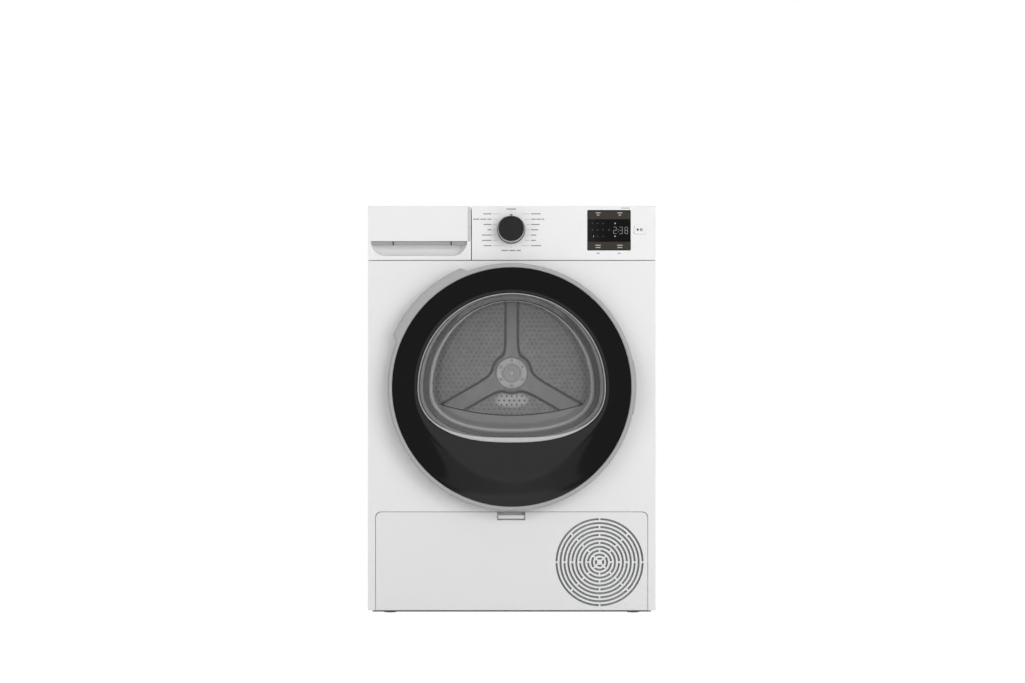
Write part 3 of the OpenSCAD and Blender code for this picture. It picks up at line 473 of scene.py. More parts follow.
def bowl_rings(thick=3 * MM):
    """Outer skin from the rim to the floor, then the inner skin back to the rim. Corners
    are arcs, so that they catch the light as bright lines."""
    depth = glass_high.y - WINDOW_Y
    outer = rounded_path([[1.0 * MM, WINDOW_Y + 0.6 * MM], [7.5 * MM, WINDOW_Y - 0.4 * MM],
        [8.5 * MM, WINDOW_Y + 7 * MM], [12.5 * MM, WINDOW_Y + 9 * MM], [23 * MM, WINDOW_Y + depth * 0.86],
        [31 * MM, WINDOW_Y + depth - 2 * MM], [40 * MM, WINDOW_Y + depth - thick],
        [52 * MM, WINDOW_Y + depth - thick]], radius=5 * MM, steps=7)
    front = [bowl_ring(inset, y) for inset, y in outer]
    rear = [bowl_ring(inset - 0.9 * thick, y + 0.75 * thick) for inset, y in outer[1:-1]]
    rear.append(front[-1] + [0, thick, 0])
    middle = np.array([0, 0, door_centre[1] + 30 * MM])
    shrink = np.array([1, 0, 1])
    for skin in (front, rear):
        last = skin[-1]
        for share in (0.6, 0.25, 0.03):
            skin.append(np.where(shrink, middle + (last - middle) * share, last))
    return np.array(rear[::-1] + front)


# SAN pressed in a polished tool: clear on the flat floor, and milky on the slopes, where
# more plastic lies in the line of sight and scatters the room's light.
clear = bpy.data.materials.new("clear_san_bowl")
clear.use_nodes = True
tree = clear.node_tree
tree.nodes.clear()
facing = add(tree, "ShaderNodeFresnel", {"IOR": 1.45})
glow = add(tree, "ShaderNodeBsdfGlossy", {"Color": WHITE, "Roughness": 0.04})
through = add(tree, "ShaderNodeBsdfTransparent", {"Color": linear("#F4F4F4")})
normal = add(tree, "ShaderNodeSeparateXYZ", {0: add(tree, "ShaderNodeTexCoord").outputs["Normal"]})
flatness = add(tree, "ShaderNodeMath", {0: normal.outputs["Y"]}, operation="ABSOLUTE")
haze = add(tree, "ShaderNodeValToRGB", {"Fac": flatness})
stops = haze.color_ramp.elements
stops[0].position, stops[0].color = 0.30, (0.20, 0.20, 0.20, 1)
stops[1].position, stops[1].color = 1.0, (0.018, 0.018, 0.018, 1)
for spot, share in ((0.50, 0.14), (0.72, 0.42), (0.88, 0.10)):
    stops.new(spot).color = (share, share, share, 1)
milk = add(tree, "ShaderNodeBsdfDiffuse", {"Color": linear("#F2F2F2")})
cloudy = add(tree, "ShaderNodeMixShader", {0: haze, 1: through, 2: milk})
pane = add(tree, "ShaderNodeMixShader", {0: facing, 1: cloudy, 2: glow})
add(tree, "ShaderNodeOutputMaterial", {"Surface": pane})
window_bowl = loft("window_bowl", bowl_rings(), clear, "door", cap_first=True, cap_last=True, crease=60)
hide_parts("door_window")
print("bowl:", len(window_bowl.data.polygons), "faces")


# %% [markdown]
# The bowl's rolled rim is a bead of opaque light grey: a painted highlight for the bright band
# along the clear rim, most of all along the bottom. Its half-width follows the angle: under a
# millimetre at the top and the sides, and five at the foot, where the painted band is widest.

# %% Door: the bowl's rolled rim
bead_angle = outline_angle[:, None]
low_share = np.clip(-np.sin(bead_angle), 0, 1) ** 3
half_width = (0.8 + 4.0 * low_share) * MM
turn = np.linspace(0, 2 * pi, 10, endpoint=False)[None, :]
inset = half_width + 1.4 * MM - half_width * np.cos(turn)
centre_line = window_outline(outline_angle, window_r, window_r, window_low)
inward = -centre_line / np.linalg.norm(centre_line, axis=1, keepdims=True)
plan = centre_line[:, None, :] + inset[..., None] * inward[:, None, :]
rim_y = WINDOW_Y - 0.4 * MM + 0.9 * MM * np.sin(turn) + 0 * inset
rim_points = np.stack([plan[..., 0], rim_y, door_centre[1] + plan[..., 1]], -1)
# Opaque light grey where the clear plastic is rolled: a painted highlight, the rim's bright band.
rim_painted_highlight = finish("rolled_rim_painted_highlight", "#C2C2C2", 0.25, 0.8, 0.002)[0]
bowl_rim = loft("bowl_rim", rim_points, rim_painted_highlight, "door", looped=True, crease=60)
print("bowl rim:", len(bowl_rim.data.polygons), "faces")


# %% [markdown]
# The drum is a tube of brushed stainless steel with pressed dimples and small drain
# holes. Cutting thousands of holes would cost more than it shows, so the holes are drawn
# by the material: a lattice of round cells, twelve millimetres apart, dark inside and
# with a pressed rim in the bump. The cells are laid on the real lengths in the UV map on
# the tube, and on X and Z across the flat rear wall.

# %% Drum: perforated steel
drum_low, drum_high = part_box("drum_shell")
drum_centre = (0.0, (drum_low.z + drum_high.z) / 2)
drum_r = (drum_high.z - drum_low.z) / 2
wall_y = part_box("drum_rear_wall")[0].y
PITCH, STAGGER = 12 * MM, 1.73         # between holes; the rows' spacing is the root of three
STEEL = "#A3A3A3"
# Place and half sizes of the painted lamp glint on the rear wall.
GLINT_HEIGHT, GLINT_HALF = 0.447, (0.040, 0.017)


def cells(tree, vector, pitch, radius, soft):
    """1 inside round cells of that radius on a staggered lattice of that pitch, 0 outside,
    with a soft edge. Two square lattices, half a pitch apart, make the stagger."""
    marks = []
    for shift in (0.0, 0.5):
        scaled = add(tree, "ShaderNodeVectorMath", {0: vector, 1: (1 / pitch, 1 / pitch / STAGGER, 0),
                     2: (shift, shift, 0)}, operation="MULTIPLY_ADD")
        part = add(tree, "ShaderNodeVectorMath", {0: scaled}, operation="FRACTION")
        middle = add(tree, "ShaderNodeVectorMath", {0: part, 1: (0.5, 0.5, 0)},
                     operation="SUBTRACT")
        size = add(tree, "ShaderNodeVectorMath", {0: middle, 1: (pitch, pitch * STAGGER, 0)},
                   operation="MULTIPLY")
        away = add(tree, "ShaderNodeVectorMath", {0: size}, operation="LENGTH")
        marks.append(add(tree, "ShaderNodeMapRange", {"Value": away.outputs["Value"],
            "From Min": radius + soft, "From Max": radius - soft, "To Min": 0.0,
            "To Max": 1.0}).outputs["Result"])
    return add(tree, "ShaderNodeMath", {0: marks[0], 1: marks[1]}, operation="MAXIMUM")


def drum_steel(name, flat):
    """Brushed stainless steel with drain holes: on X and Z where flat, else on the UV map.
    The wall's attribute "arm" is 1 on the pressed arms, where there are no holes. Below
    the hub an oval is painted lighter, with its holes darker: a painted glint of the lamp.
    Thin painted highlight lines, lighter and less metallic, run along the arms' sides."""
    material, tree, shader = finish(name, STEEL, 0.40, 1.0, 0.004, metallic=1.0 if flat else 0.7)
    if flat:
        place = add(tree, "ShaderNodeTexCoord").outputs["Object"]
        split = add(tree, "ShaderNodeSeparateXYZ", {0: place})
        vector = add(tree, "ShaderNodeCombineXYZ", {0: split.outputs["X"], 1: split.outputs["Z"]})
    else:
        vector = add(tree, "ShaderNodeUVMap", uv_map="lengths")
    holes = cells(tree, vector, PITCH, 2.1 * MM, 0.5 * MM)
    rims = cells(tree, vector, PITCH, 3.6 * MM, 1.2 * MM)
    arm = add(tree, "ShaderNodeAttribute", attribute_name="arm").outputs["Fac"]
    open_part = add(tree, "ShaderNodeMapRange", {"Value": arm, "From Min": 0.02, "From Max": 0.10,
        "To Min": 0.42, "To Max": 0.0}).outputs["Result"]
    # Painted glint of the lamp: an oval below the hub, whitened, with its holes shown darker.
    aside = add(tree, "ShaderNodeVectorMath", {0: vector, 1: (0, -GLINT_HEIGHT, 0)}, operation="ADD")
    squeezed = add(tree, "ShaderNodeVectorMath",
                   {0: aside, 1: (1 / GLINT_HALF[0], 1 / GLINT_HALF[1], 0)}, operation="MULTIPLY")
    reach = add(tree, "ShaderNodeVectorMath", {0: squeezed}, operation="LENGTH")
    lamp_glint = add(tree, "ShaderNodeMapRange", {"Value": reach.outputs["Value"], "From Min": 0.75,
        "From Max": 1.15, "To Min": 1.0 if flat else 0.0, "To Max": 0.0}).outputs["Result"]
    glint_hole_gain = add(tree, "ShaderNodeMath", {0: lamp_glint, 1: 1.2, 2: 1.0}, operation="MULTIPLY_ADD")
    open_holes = add(tree, "ShaderNodeMath", {0: holes, 1: open_part}, operation="MULTIPLY")
    shown = add(tree, "ShaderNodeMath", {0: open_holes, 1: glint_hole_gain}, operation="MULTIPLY")
    pressed = add(tree, "ShaderNodeMath", {0: rims, 1: open_part}, operation="MULTIPLY")
    # Painted highlights: thin light lines along the arms' sides, read from the arm's height.
    edge = add(tree, "ShaderNodeValToRGB", {"Fac": arm})
    marks = edge.color_ramp.elements
    marks[0].position, marks[0].color = 0.0, (0, 0, 0, 1)
    marks[1].position, marks[1].color = 1.0, (0, 0, 0, 1)
    for spot, share in ((0.04, 0.0), (0.14, 0.35), (0.34, 0.0), (0.72, 0.0), (0.90, 0.35), (0.985, 0.0)):
        marks.new(spot).color = (share, share, share, 1)
    painted_lightening = add(tree, "ShaderNodeMath", {0: lamp_glint, 1: 0.6, 2: edge}, operation="MULTIPLY_ADD")
    painted_highlight_colour = add(tree, "ShaderNodeMix", {0: painted_lightening, 6: linear(STEEL), 7: WHITE},
                data_type="RGBA")
    colour = add(tree, "ShaderNodeMix", {0: shown, 6: painted_highlight_colour.outputs[2], 7: linear("#2A2B2C")},
                 data_type="RGBA")
    tree.links.new(colour.outputs[2], shader.inputs["Base Color"])
    if flat:
        # Less metallic on the painted highlight lines, so that they show white.
        metal_under_painted_lines = add(tree, "ShaderNodeMath", {0: 1.0, 1: edge}, operation="SUBTRACT")
        tree.links.new(metal_under_painted_lines.outputs[0], shader.inputs["Metallic"])
    press = add(tree, "ShaderNodeBump", {"Height": pressed, "Distance": 0.6 * MM, "Strength": 0.6},
                invert=True)
    tree.links.new(press.outputs[0], shader.inputs["Normal"])
    return material


# Stainless sheet, pierced flat and then rolled: dull silver with dark holes.
tube_steel = drum_steel("perforated_stainless_tube", False)
# The same sheet, pressed: the arms are plain, with painted highlight lines along their edges and a painted
# lamp glint below the hub.
wall_steel = drum_steel("perforated_stainless_wall", True)
# Stainless steel, brushed: a soft, even, cool shine.
plain_steel = finish("brushed_stainless", "#B4B5B7", 0.33, 1.0, 0.004, metallic=1.0)[0]

near, far = drum_low.y, drum_high.y
tube = rounded_path(from_base(drum_r, (20, near, 1.2), (20, near, 0), (0, near, 0), (0, near, 80),
    (5, near, 92), (0, near, 104), (0, far, 0), (1.2, far, 0), (1.2, near, 105), (6.2, near, 92),
    (1.2, near, 79), (1.2, near, 1.2)), radius=6 * MM, steps=6)
drum_tube = loft("drum_tube", turned(tube, drum_centre), tube_steel, "drum", looped=True)
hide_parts("drum_shell")
print("drum tube:", len(drum_tube.data.polygons), "faces")


# %% [markdown]
# The rear wall is one pressing: a flat disc whose three arms stand out towards the door,
# from the hub to the rim. The arms are heights on a polar grid. An arm has a flat top,
# steep sides and a foot that flares where it meets the hub.

# %% Drum: rear wall with its three arms
ARMS, RISE = (90, 210, 330), 8 * MM


def wall_height(radius, angle):
    """How far the wall stands out: 8 mm on the arms, which are wider in the lower two and
    open towards the hub's circle, and 3 mm on a round bead near the rim."""
    height = np.zeros_like(radius)
    for arm in ARMS:
        off = (angle - radians(arm) + pi) % (2 * pi) - pi
        aside = np.abs(radius * np.sin(off))
        ahead = radius * np.cos(off)
        half = (14 if arm == 90 else 19) * MM + 14 * MM * np.exp(-np.maximum(ahead - 32 * MM, 0) / (12 * MM))
        along = ease(ahead, 0, 10 * MM) * (1 - ease(ahead, drum_r - 34 * MM, drum_r - 22 * MM))
        height = np.maximum(height, RISE * along * (1 - ease(aside, half - 3 * MM, half + 4 * MM)))
    hub = RISE * (1 - ease(radius, 44 * MM, 50 * MM))
    bead = 3 * MM * np.exp(-((radius - (drum_r - 14 * MM)) / (6 * MM)) ** 2)
    return np.maximum(np.maximum(height, hub), bead)


spider_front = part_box("drum_spider")[0].y
radii = np.concatenate([np.linspace(1 * MM, 44 * MM, 8), np.linspace(45.5 * MM, drum_r - 1.5 * MM, 110)])
turn = np.linspace(0, 2 * pi, 720, endpoint=False)
R, A = np.meshgrid(radii, turn, indexing="ij")
lift = wall_height(R, A) * (wall_y - spider_front) / RISE
front_face = np.stack([R * np.cos(A), wall_y - lift, drum_centre[1] + R * np.sin(A)], -1)
back_face = front_face[::-6].copy()
back_face[..., 1] = wall_y + 2 * MM
rear_wall = loft("drum_back", np.concatenate([front_face, back_face]), wall_steel, "drum",
                 cap_first=True, cap_last=True, crease=60)
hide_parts("drum_rear_wall")
share = np.zeros(len(rear_wall.data.vertices))
share[:lift.size] = (lift / (wall_y - spider_front)).ravel()
share[lift.size:] = 1.0
rear_wall.data.attributes.new("arm", "FLOAT", "POINT").data.foreach_set("value", share)

spider_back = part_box("drum_spider")[1].y
shaft_profile = rounded_path(from_base(0, (-0.2, wall_y, 0.2), (-42, wall_y, 0.2), (-42, wall_y, 1.8),
    (-12, wall_y, 1.9), (-12, spider_back, -1), (-11, spider_back, 0), (-0.2, spider_back, 0)),
    radius=0.5 * MM, steps=3)
drum_shaft = loft("drum_shaft", turned(shaft_profile, drum_centre, 96), plain_steel, "drum",
                  cap_first=True, cap_last=True)
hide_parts("drum_spider")
print("rear wall:", len(rear_wall.data.polygons), "faces")


# %% [markdown]
# A turned cap covers the hub: a plate with a rolled edge, a raised ring and a small boss.
# Six pan-head screws hold it. The three lifters are soft ridges of pale plastic.

# %% Drum: hub cap, screws and lifters
hub_low, hub_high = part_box("hub_plate")
hub_r = (hub_high.z - hub_low.z) / 2
hub_profile = rounded_path([[0.2 * MM, hub_low.y - 4 * MM], [7 * MM, hub_low.y - 4 * MM],
    [8 * MM, hub_low.y + 2.2 * MM], [12 * MM, hub_low.y + 2.2 * MM], [13.5 * MM, hub_low.y - 2 * MM],
    [18.0 * MM, hub_low.y - 2 * MM],
    [19 * MM, hub_low.y + 1.8 * MM], [21.5 * MM, hub_low.y + 1.8 * MM], [22.5 * MM, hub_low.y],
    [hub_r - 2 * MM, hub_low.y], [hub_r, hub_low.y + 1 * MM], [hub_r, hub_high.y],
    [0.2 * MM, hub_high.y]], radius=0.8 * MM, steps=4)
# Cap of bead-blasted stainless: lighter and softer than the wall round it.
bright_steel = finish("satin_stainless_cap", "#F8F8F8", 0.45, 0.8, 0.003, metallic=0.8)[0]
hub_cap = loft("hub_cap", turned(hub_profile, drum_centre, 96), bright_steel, "drum",
               cap_first=True, cap_last=True)
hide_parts("hub_plate")
wear(turned_steel, "hub_screws")
wear(pale_abs, "drum_lifters")
print("hub cap radius", round(hub_r, 4))


# %% [markdown]
# The programme knob is a turned black cap with a silver collar and a wider skirt. A small
# nub at the top marks the setting.

# %% Controls: the knob
knob_low, knob_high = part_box("programme_knob")
knob_centre = ((knob_low.x + knob_high.x) / 2, (knob_low.z + knob_high.z) / 2)
skirt_r = (knob_high.z - knob_low.z) / 2
cap_r = skirt_r - 3.6 * MM
cap_y = knob_low.y
# Black ABS, lightly polished: the side shows one soft highlight.
knob_black = finish("satin_black_abs_knob", "#18191A", 0.30, 0.6, 0.003, spread=0.03)[0]
# The same black, sparked: the face stays matt and even.
cap_black = finish("matt_black_knob_face", "#232323", 0.48, 0.5, 0.005)[0]
knob_profile = rounded_path([[0.2 * MM, cap_y + 0.8 * MM], [cap_r - 3 * MM, cap_y + 0.8 * MM],
    [cap_r - 1.6 * MM, cap_y], [cap_r, cap_y + 1.4 * MM], [cap_r + 0.4 * MM, front - 9 * MM],
    [skirt_r, front - 5.5 * MM],
    [skirt_r, front - 0.6 * MM], [skirt_r - 3 * MM, front - 0.5 * MM], [3 * MM, front - 0.5 * MM],
    [3 * MM, knob_high.y - 0.5 * MM], [0.2 * MM, knob_high.y]], radius=0.8 * MM, steps=4)
knob_cap = loft("knob_cap", turned(knob_profile, knob_centre, 128), knob_black, "knob",
                cap_first=True, cap_last=True)
knob_cap.data.materials.append(cap_black)
centres = np.empty(len(knob_cap.data.polygons) * 3)
knob_cap.data.polygons.foreach_get("center", centres)
on_face = (centres.reshape(-1, 3)[:, 1] < cap_y + 1.2 * MM).astype(np.int32)
knob_cap.data.polygons.foreach_set("material_index", on_face)
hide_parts("programme_knob")

collar_profile = rounded_path([[cap_r + 0.1 * MM, cap_y + 2.0 * MM], [cap_r + 1.5 * MM, cap_y + 3.0 * MM],
    [skirt_r - 0.9 * MM, front - 8 * MM], [cap_r + 0.1 * MM, front - 8.6 * MM]], radius=0.5 * MM, steps=4)
# Chrome over ABS: a thin bright line round the black.
knob_silver = finish("satin_chromed_collar", "#C9CACB", 0.22, 0.6, 0.002, metallic=1.0)[0]
collar = loft("knob_collar", turned(collar_profile, knob_centre, 128), knob_silver, "knob", looped=True)
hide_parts("knob_ring")


def bar(name, low, high, material, body, radius=0.0004):
    """A small block from low to high with every edge rounded: rings of a rounded rectangle
    in X and Z, drawn in at the front and rear."""
    low, high = np.array(low, float), np.array(high, float)
    centre, half = (low + high) / 2, (high - low) / 2
    turn = np.linspace(0, 2 * pi, 32, endpoint=False)
    r = min(radius, half[0] * 0.95, half[2] * 0.95)
    rings = []
    for inset, y in ((r, low[1]), (0.3 * r, low[1] + 0.3 * r), (0, low[1] + r), (0, high[1])):
        corner = np.stack([np.sign(np.cos(turn)) * (half[0] - r), np.sign(np.sin(turn)) * (half[2] - r)], -1)
        round_part = (r - inset) * np.stack([np.cos(turn), np.sin(turn)], -1)
        rings.append(np.stack([centre[0] + corner[:, 0] + round_part[:, 0], y + 0 * turn,
                               centre[2] + corner[:, 1] + round_part[:, 1]], -1))
    return loft(name, rings, material, body, cap_first=True, cap_last=True)


nub_x, nub_z = knob_centre[0], knob_centre[1] + cap_r
bar("knob_pointer", (nub_x - 3 * MM, cap_y + 3 * MM, nub_z - 1 * MM),
    (nub_x + 3 * MM, front - 8 * MM, nub_z + 3.4 * MM), knob_black, "knob", radius=1.2 * MM)
print("knob:", round(skirt_r, 4), "m radius, stands out", round(front - cap_y, 4))


# %% [markdown]
# Words are printed on the panel by a soft pad. Here each word is a plain bar of the same
# length, since a lesson needs no lettering: a thin film of rectangles, all in one piece.
# Their places are lists of lengths in rows, so one line of numbers moves a whole column.

# %% Controls: printed marks
# Pad-printed ink: flat mid grey, without gloss.
ink = finish("grey_pad_print", "#8C8C8C", 0.5, 0.6, 0.001)[0]
PRINT = 0.06 * MM


def printed(name, boxes, material, body="cabinet", face=front):
    """One thin flat piece of separate printed rectangles. boxes is an array of low x, high
    x, low z, high z; each gives four corners on the face and four just before it."""
    boxes = np.atleast_2d(np.asarray(boxes, float))
    x = boxes[:, [0, 1, 1, 0]]
    z = boxes[:, [2, 2, 3, 3]]
    near = np.stack([x, 0 * x + face - PRINT, z], -1)
    far = np.stack([x, 0 * x + face + 0.02 * MM, z], -1)
    points = np.concatenate([near, far], 1).reshape(-1, 3)
    base = 8 * np.arange(len(boxes))[:, None, None]
    sides = np.array([[0, 1, 2, 3], [7, 6, 5, 4], [0, 4, 5, 1], [1, 5, 6, 2], [2, 6, 7, 3], [3, 7, 4, 0]])
    mesh = bpy.data.meshes.new(name)
    mesh.from_pydata(points.tolist(), [], (base + sides).reshape(-1, 4).tolist())
    mesh.materials.append(material)
    piece = bpy.data.objects.new(name, mesh)
    scene.collection.objects.link(piece)
    face_out(piece)
    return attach(piece, body)


def dashes(start, end, z, high):
    """Word-like bars between start and end: pieces of uneven length with narrow gaps."""
    span = abs(end - start)
    cuts = np.array([0, 0.34, 0.40, 0.72, 0.78, 1.0]) if span > 22 * MM else np.array([0, 1.0])
    edges = min(start, end) + span * cuts
    return [[a, b, z - high / 2, z + high / 2] for a, b in zip(edges[::2], edges[1::2])]


rows = knob_centre[1] + np.linspace(33, -33, 7) * MM
left_lengths = np.array([17, 38, 16, 8, 20, 20, 16]) * MM
right_lengths = np.array([20, 28, 18, 15, 11, 10, 21]) * MM
left_edge, right_edge = knob_centre[0] - 41 * MM, knob_centre[0] + 41 * MM
words = [b for z, w in zip(rows, left_lengths) for b in dashes(left_edge - w, left_edge, z, 2.0 * MM)]
words += [b for z, w in zip(rows, right_lengths) for b in dashes(right_edge, right_edge + w, z, 2.0 * MM)]
top_z, low_z = knob_centre[1] + 43 * MM, knob_centre[1] - 43 * MM
words += dashes(knob_centre[0] - 10 * MM, knob_centre[0] + 10 * MM, top_z, 2.2 * MM)
words += dashes(knob_centre[0] - 20 * MM, knob_centre[0] + 20 * MM, low_z, 2.2 * MM)
printed("programme_marks", words, ink)


def leaders():
    """Lines from each row towards the knob: level at the row, and ending on a circle just
    outside the skirt; each is a thin rectangle."""
    reach = skirt_r + 5 * MM
    lines = []
    for z in rows:
        off = z - knob_centre[1]
        inner = np.sqrt(max(reach ** 2 - (0.8 * off) ** 2, (6 * MM) ** 2)) * 0.98
        for side in (-1, 1):
            a, b = sorted((knob_centre[0] + side * inner, knob_centre[0] + side * 38 * MM))
            lines.append([a, b, z - 0.35 * MM, z + 0.35 * MM])
    for side in (-1, 1):
        a, b = sorted(knob_centre[1] + side * (skirt_r + gap * MM) for gap in (4, 9))
        lines.append([knob_centre[0] - 0.25 * MM, knob_centre[0] + 0.25 * MM, a, b])
    return lines


# The same ink, thinner, for the fine leader lines.
faint = finish("pale_grey_pad_print", "#9A9A9A", 0.5, 0.6, 0.001)[0]
lines = leaders()
printed("programme_leaders", lines, faint)
print("printed marks:", len(words), "bars,", len(lines), "leader lines")


# %% [markdown]
# The display is a sheet of dark glass with two smoked bands, touch marks and a timer in
# seven-segment figures. Each segment is a lit bar behind the glass's face.

# %% Controls: display
window_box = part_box("display_window")
# Smoked acrylic: nearly black, with mirror gloss.
display_black = finish("smoked_display_glass", "#050505", 0.08, 3.0, 0.001, spread=0.02)[0]
wear(display_black, "display_window")
# Brown tint printed under the acrylic: two warm, dark bands.
band_brown = finish("smoked_band_print", "#37322C", 0.30, 0.8, 0.0002, spread=0.005)[0]
# Opaque cream print for the touch marks.
cream = finish("cream_touch_print", "#CFC9BC", 0.4, 0.6, 0.001)[0]
# Light through a segment: pale grey, with a weak glow of its own.
lit, _, shader = finish("grey_lit_segment", "#8E8E8E", 0.4, 0.6, 0.001)
shader.inputs["Emission Color"].default_value = linear("#F4F6F8")
shader.inputs["Emission Strength"].default_value = 0.04
# Icons that are off: only just lighter than the acrylic.
dim_icon = finish("unlit_icon_print", "#3A3A3A", 0.4, 0.6, 0.001)[0]
x0, x1 = window_box[0].x, window_box[1].x
z0, z1 = window_box[0].z, window_box[1].z
wide, tall = x1 - x0, z1 - z0


def at(u, v, w, h):
    """A rectangle centred at the share (u, v) of the display, w and h in metres."""
    x, z = x0 + u * wide, z0 + v * tall
    return [x - w / 2, x + w / 2, z - h / 2, z + h / 2]


bands = [[x0 + 1.5 * MM, x1 - 1.5 * MM, z1 - 19 * MM, z1 - 2.5 * MM],
         [x0 + 1.5 * MM, x1 - 1.5 * MM, z0 + 1.5 * MM, z0 + 18 * MM]]
printed("smoked_bands", bands, band_brown)
touch = []
for u in (0.25, 0.75):
    for v, lengths in ((0.91, (10, 5)), (0.11, (11, 10))):
        for row, length in enumerate(lengths):
            touch.append(at(u, v - row * 0.055 + 0.02, length * MM, 1.5 * MM))
printed("touch_marks", touch, cream, face=front - PRINT)

SEGMENTS = {"2": "abged", "3": "abgcd", "8": "abcdefg"}
FIGURE_W, FIGURE_H, STROKE = 6.6 * MM, 14.5 * MM, 0.8 * MM


def figure(digit, left, low):
    """The rectangles of one seven-segment figure whose lower left corner is given."""
    w, h, t = FIGURE_W, FIGURE_H, STROKE
    bars = {"a": (0, w, h - t, h), "g": (0, w, h / 2 - t / 2, h / 2 + t / 2), "d": (0, w, 0, t),
            "f": (0, t, h / 2, h), "b": (w - t, w, h / 2, h), "e": (0, t, 0, h / 2),
            "c": (w - t, w, 0, h / 2)}
    return (np.array([bars[k] for k in SEGMENTS[digit]]) + [left, left, low, low]).tolist()


base_z = z0 + 0.41 * tall
digits = [b for digit, u in (("2", 0.60), ("3", 0.74), ("8", 0.86))
          for b in figure(digit, x0 + u * wide, base_z)]
digits += [[x0 + 0.702 * wide, x0 + 0.716 * wide, base_z + f * MM, base_z + (f + 1.4) * MM]
           for f in (3.6, 8.6)]
printed("timer_figures", digits, lit)
icons = [at(u, v, 3.2 * MM, 2.6 * MM) for u in (0.12, 0.24, 0.36) for v in (0.67, 0.51, 0.35)]
icons.append(at(0.5, 0.51, 4 * MM, 3.6 * MM))
printed("icon_marks", icons, dim_icon)
printed("lit_icons", [at(0.13, 0.35, 4.0 * MM, 2.4 * MM), at(0.64, 0.67, 2.4 * MM, 2.4 * MM),
                      at(0.64, 0.35, 3.0 * MM, 1.6 * MM)], cream)
printed("upper_mark", [[x0 + 0.78 * wide, x0 + 0.98 * wide, z1 + 3.4 * MM, z1 + 4.6 * MM]], ink)
printed("lower_marks", [[x0 + u * wide - 3 * MM, x0 + u * wide + 3 * MM, z0 - 6.6 * MM, z0 - 4.8 * MM]
                        for u in (0.25, 0.73)], ink)
print("display:", round(wide, 4), "by", round(tall, 4), "m,", len(digits), "lit segments")


# %% [markdown]
# The start button carries a play mark and two bars. A triangle is a bar whose right edge
# shrinks to a point, so it is drawn as a stack of thin strips.

# %% Controls: start button's mark
button_low, button_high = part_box("start_button")
bx, bz = (button_low.x + button_high.x) / 2, (button_low.z + button_high.z) / 2
strips = np.linspace(-2.9, 2.9, 15)[:-1] * MM
reach = 5.4 * MM * (1 - np.abs(strips + 0.2 * MM) / (3.1 * MM))
play = [[bx - 6.4 * MM, bx - 6.4 * MM + r, bz + s, bz + s + 0.42 * MM] for s, r in zip(strips, reach)]
pause = [[bx + u * MM, bx + (u + 1.6) * MM, bz - 2.9 * MM, bz + 2.9 * MM] for u in (0.6, 3.6)]
# Dark pad print, for the one mark that must be found at once.
symbol = finish("dark_grey_pad_print", "#2C2C2D", 0.5, 0.6, 0.001)[0]
printed("start_mark", play + pause, symbol, "button", face=button_low.y)


def rounded_outline(centre, half_x, half_z, radius, y, count=64):
    """A rounded rectangle round centre (x, z) at depth y, corners as arcs."""
    turn = np.linspace(0, 2 * pi, count, endpoint=False)
    x = centre[0] + np.sign(np.cos(turn)) * (half_x - radius) + radius * np.cos(turn)
    z = centre[1] + np.sign(np.sin(turn)) * (half_z - radius) + radius * np.sin(turn)
    return np.stack([x, y + 0 * x, z], -1)


half_x, half_z = (button_high.x - button_low.x) / 2, (button_high.z - button_low.z) / 2
collar_rings = [rounded_outline((bx, bz), half_x + grow * MM, half_z + grow * MM, (6 + grow) * MM,
                                front + y * MM)
                for grow, y in ((0.45, 0.5), (0.12, 0.5), (0.12, 2.0), (0.45, 2.0))]
loft("button_collar", collar_rings, fascia, "cabinet", looped=True)
print("start button:", len(strips) + len(pause), "printed strips")


# %% [markdown]
# The water drawer is pulled by the edge of its raised plate. Under the plate runs a grey liner,
# painted shade, with two darker stops; a chamfered strip in painted shade closes the plate's
# right edge. Inside the door, a dark bead is a painted shadow line on the loading throat's lip.

# %% Drawer: liner, stops and edge strip; throat bead
drawer_low, drawer_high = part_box("drawer_front")
plate_z = drawer_low.z + 40 * MM
# Grey ABS liner, its grey a painted shade under the plate, so that the grip reads as deep.
liner_painted_shade = finish("grey_liner_painted_shade", "#A8A8A8", 0.5, 0.8, 0.006)[0]
# A chamfer in satin grey: a thin line where plate and panel part, its grey a painted shade cast by the
# raised plate.
chamfer_painted_shade = finish("chamfer_grey_painted_shade", "#CFCFCF", 0.45, 0.8, 0.006)[0]
bar("scoop_shade_liner", (drawer_low.x + 7 * MM, front + 4 * MM, plate_z - 7.5 * MM),
    (drawer_high.x - 10 * MM, front + 8 * MM, plate_z - 0.4 * MM), liner_painted_shade, "tank_drawer")
for number, px in enumerate((0.245, 0.808)):
    x = drawer_low.x + px * (drawer_high.x - drawer_low.x)
    bar(f"scoop_stop_{number}", (x - 1.2 * MM, front + 2 * MM, plate_z - 8.5 * MM),
        (x + 1.2 * MM, front + 6 * MM, plate_z - 0.4 * MM), dark_abs_and_painted_shade, "tank_drawer")
bar("drawer_edge_strip", (drawer_high.x - 6.6 * MM, front + 0.8 * MM, plate_z),
    (drawer_high.x - 0.6 * MM, front + 1.45 * MM, drawer_high.z - 3 * MM), chamfer_painted_shade, "tank_drawer")
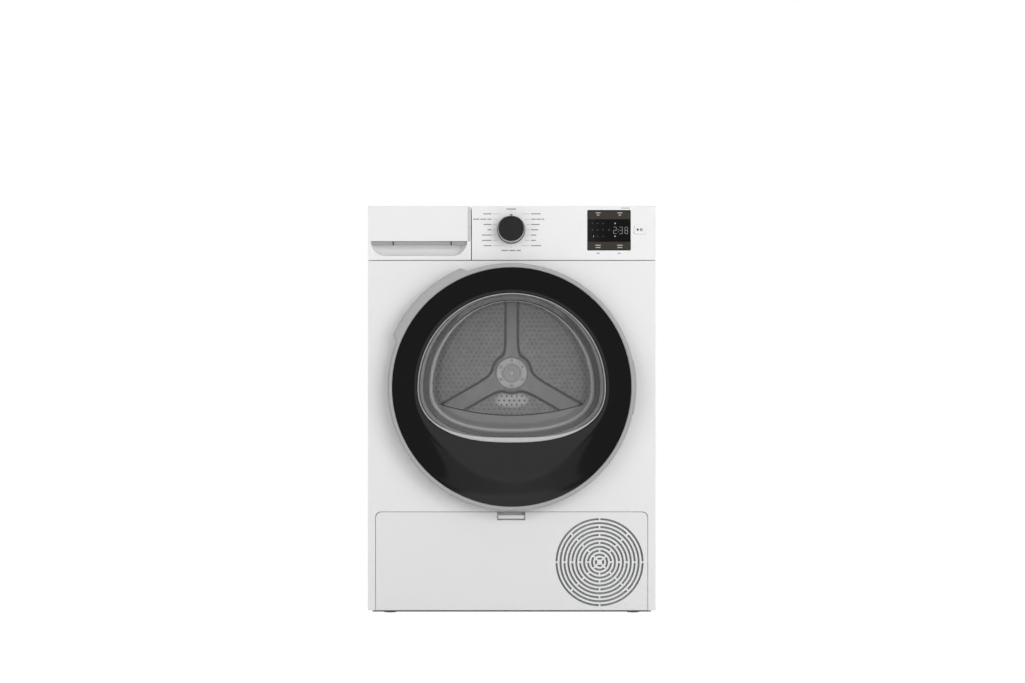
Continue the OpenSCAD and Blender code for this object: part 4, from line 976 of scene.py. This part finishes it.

# A dark bead along the loading throat's lip: a painted shadow line where the filter's top edge meets the
# lip.
bulkhead_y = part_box("front_bulkhead")[0].y
LIP_R = 500 * MM
lip_z = door_centre[1] - 58 * MM
bend = np.linspace(-0.30, 0.30, 64)
path = np.stack([LIP_R * np.sin(bend), 0 * bend + bulkhead_y - 1.2 * MM,
                 lip_z + LIP_R * (1 - np.cos(bend))], -1)
around = np.linspace(0, 2 * pi, 12, endpoint=False)
outward = np.stack([-np.sin(bend), 0 * bend, np.cos(bend)], -1)
tube_rings = path[:, None] + 1.1 * MM * (np.cos(around)[None, :, None] * outward[:, None]
                                      + np.sin(around)[None, :, None] * np.array([0, 1, 0]))
throat_shadow_line = loft("throat_shadow_line", tube_rings, dark_abs_and_painted_shade, "cabinet", cap_first=True, cap_last=True)
print("drawer liner and throat bead:", len(throat_shadow_line.data.polygons), "faces")


# %% [markdown]
# Behind the kick flap's rings lies a pleated grey filter mat that hides the fan. It is a
# shallow wavy disc: a polar grid whose depth is a cosine of the height.

# %% Kick flap: filter mat behind the grille
grille = (182.4 * MM, 108 * MM)
mat_r = np.linspace(0.5 * MM, 96 * MM, 60)
turn = np.linspace(0, 2 * pi, 96, endpoint=False)
R, A = np.meshgrid(mat_r, turn, indexing="ij")
mat_z = grille[1] + R * np.sin(A)
wave = 0.7 * MM * np.cos(2 * pi * mat_z / (9 * MM))
mat_front = np.stack([grille[0] + R * np.cos(A), front + 6 * MM + wave, mat_z], -1)
mat_back = mat_front[::-1].copy()
mat_back[..., 1] += 1.6 * MM
# Needled fleece: fibres scatter the light, so it is grey and quite dull.
felt = finish("grey_filter_fleece", "#A2A4A5", 0.85, 0.5, 0.05)[0]
filter_mat = loft("filter_mat", np.concatenate([mat_front, mat_back]), felt, "flap",
                  cap_first=True, cap_last=True, crease=60)
print("filter mat:", len(filter_mat.data.polygons), "faces")


# %% [markdown]
# A plain pale floor under the feet closes the scene.

# %% Floor
# Matt floor paint: pale, and white to the camera.
floor_paint, tree, shader = finish("pale_floor", "#F6F6F6", 0.7, 4.0, 0.01)
ray = add(tree, "ShaderNodeLightPath")
glow = add(tree, "ShaderNodeEmission", {"Color": WHITE, "Strength": 1.0})
dark = add(tree, "ShaderNodeEmission", {"Color": WHITE, "Strength": 0.2})
pale = add(tree, "ShaderNodeMixShader",
           {0: ray.outputs["Is Glossy Ray"], 1: shader, 2: dark})
plain = add(tree, "ShaderNodeMixShader",
            {0: ray.outputs["Is Camera Ray"], 1: pale, 2: glow})
tree.links.new(plain.outputs[0], tree.nodes["Material Output"].inputs["Surface"])
bpy.ops.mesh.primitive_plane_add(size=60, location=(0, 0, 0))
floor = bpy.context.object
floor.name = "floor"
floor.data.materials.append(floor_paint)
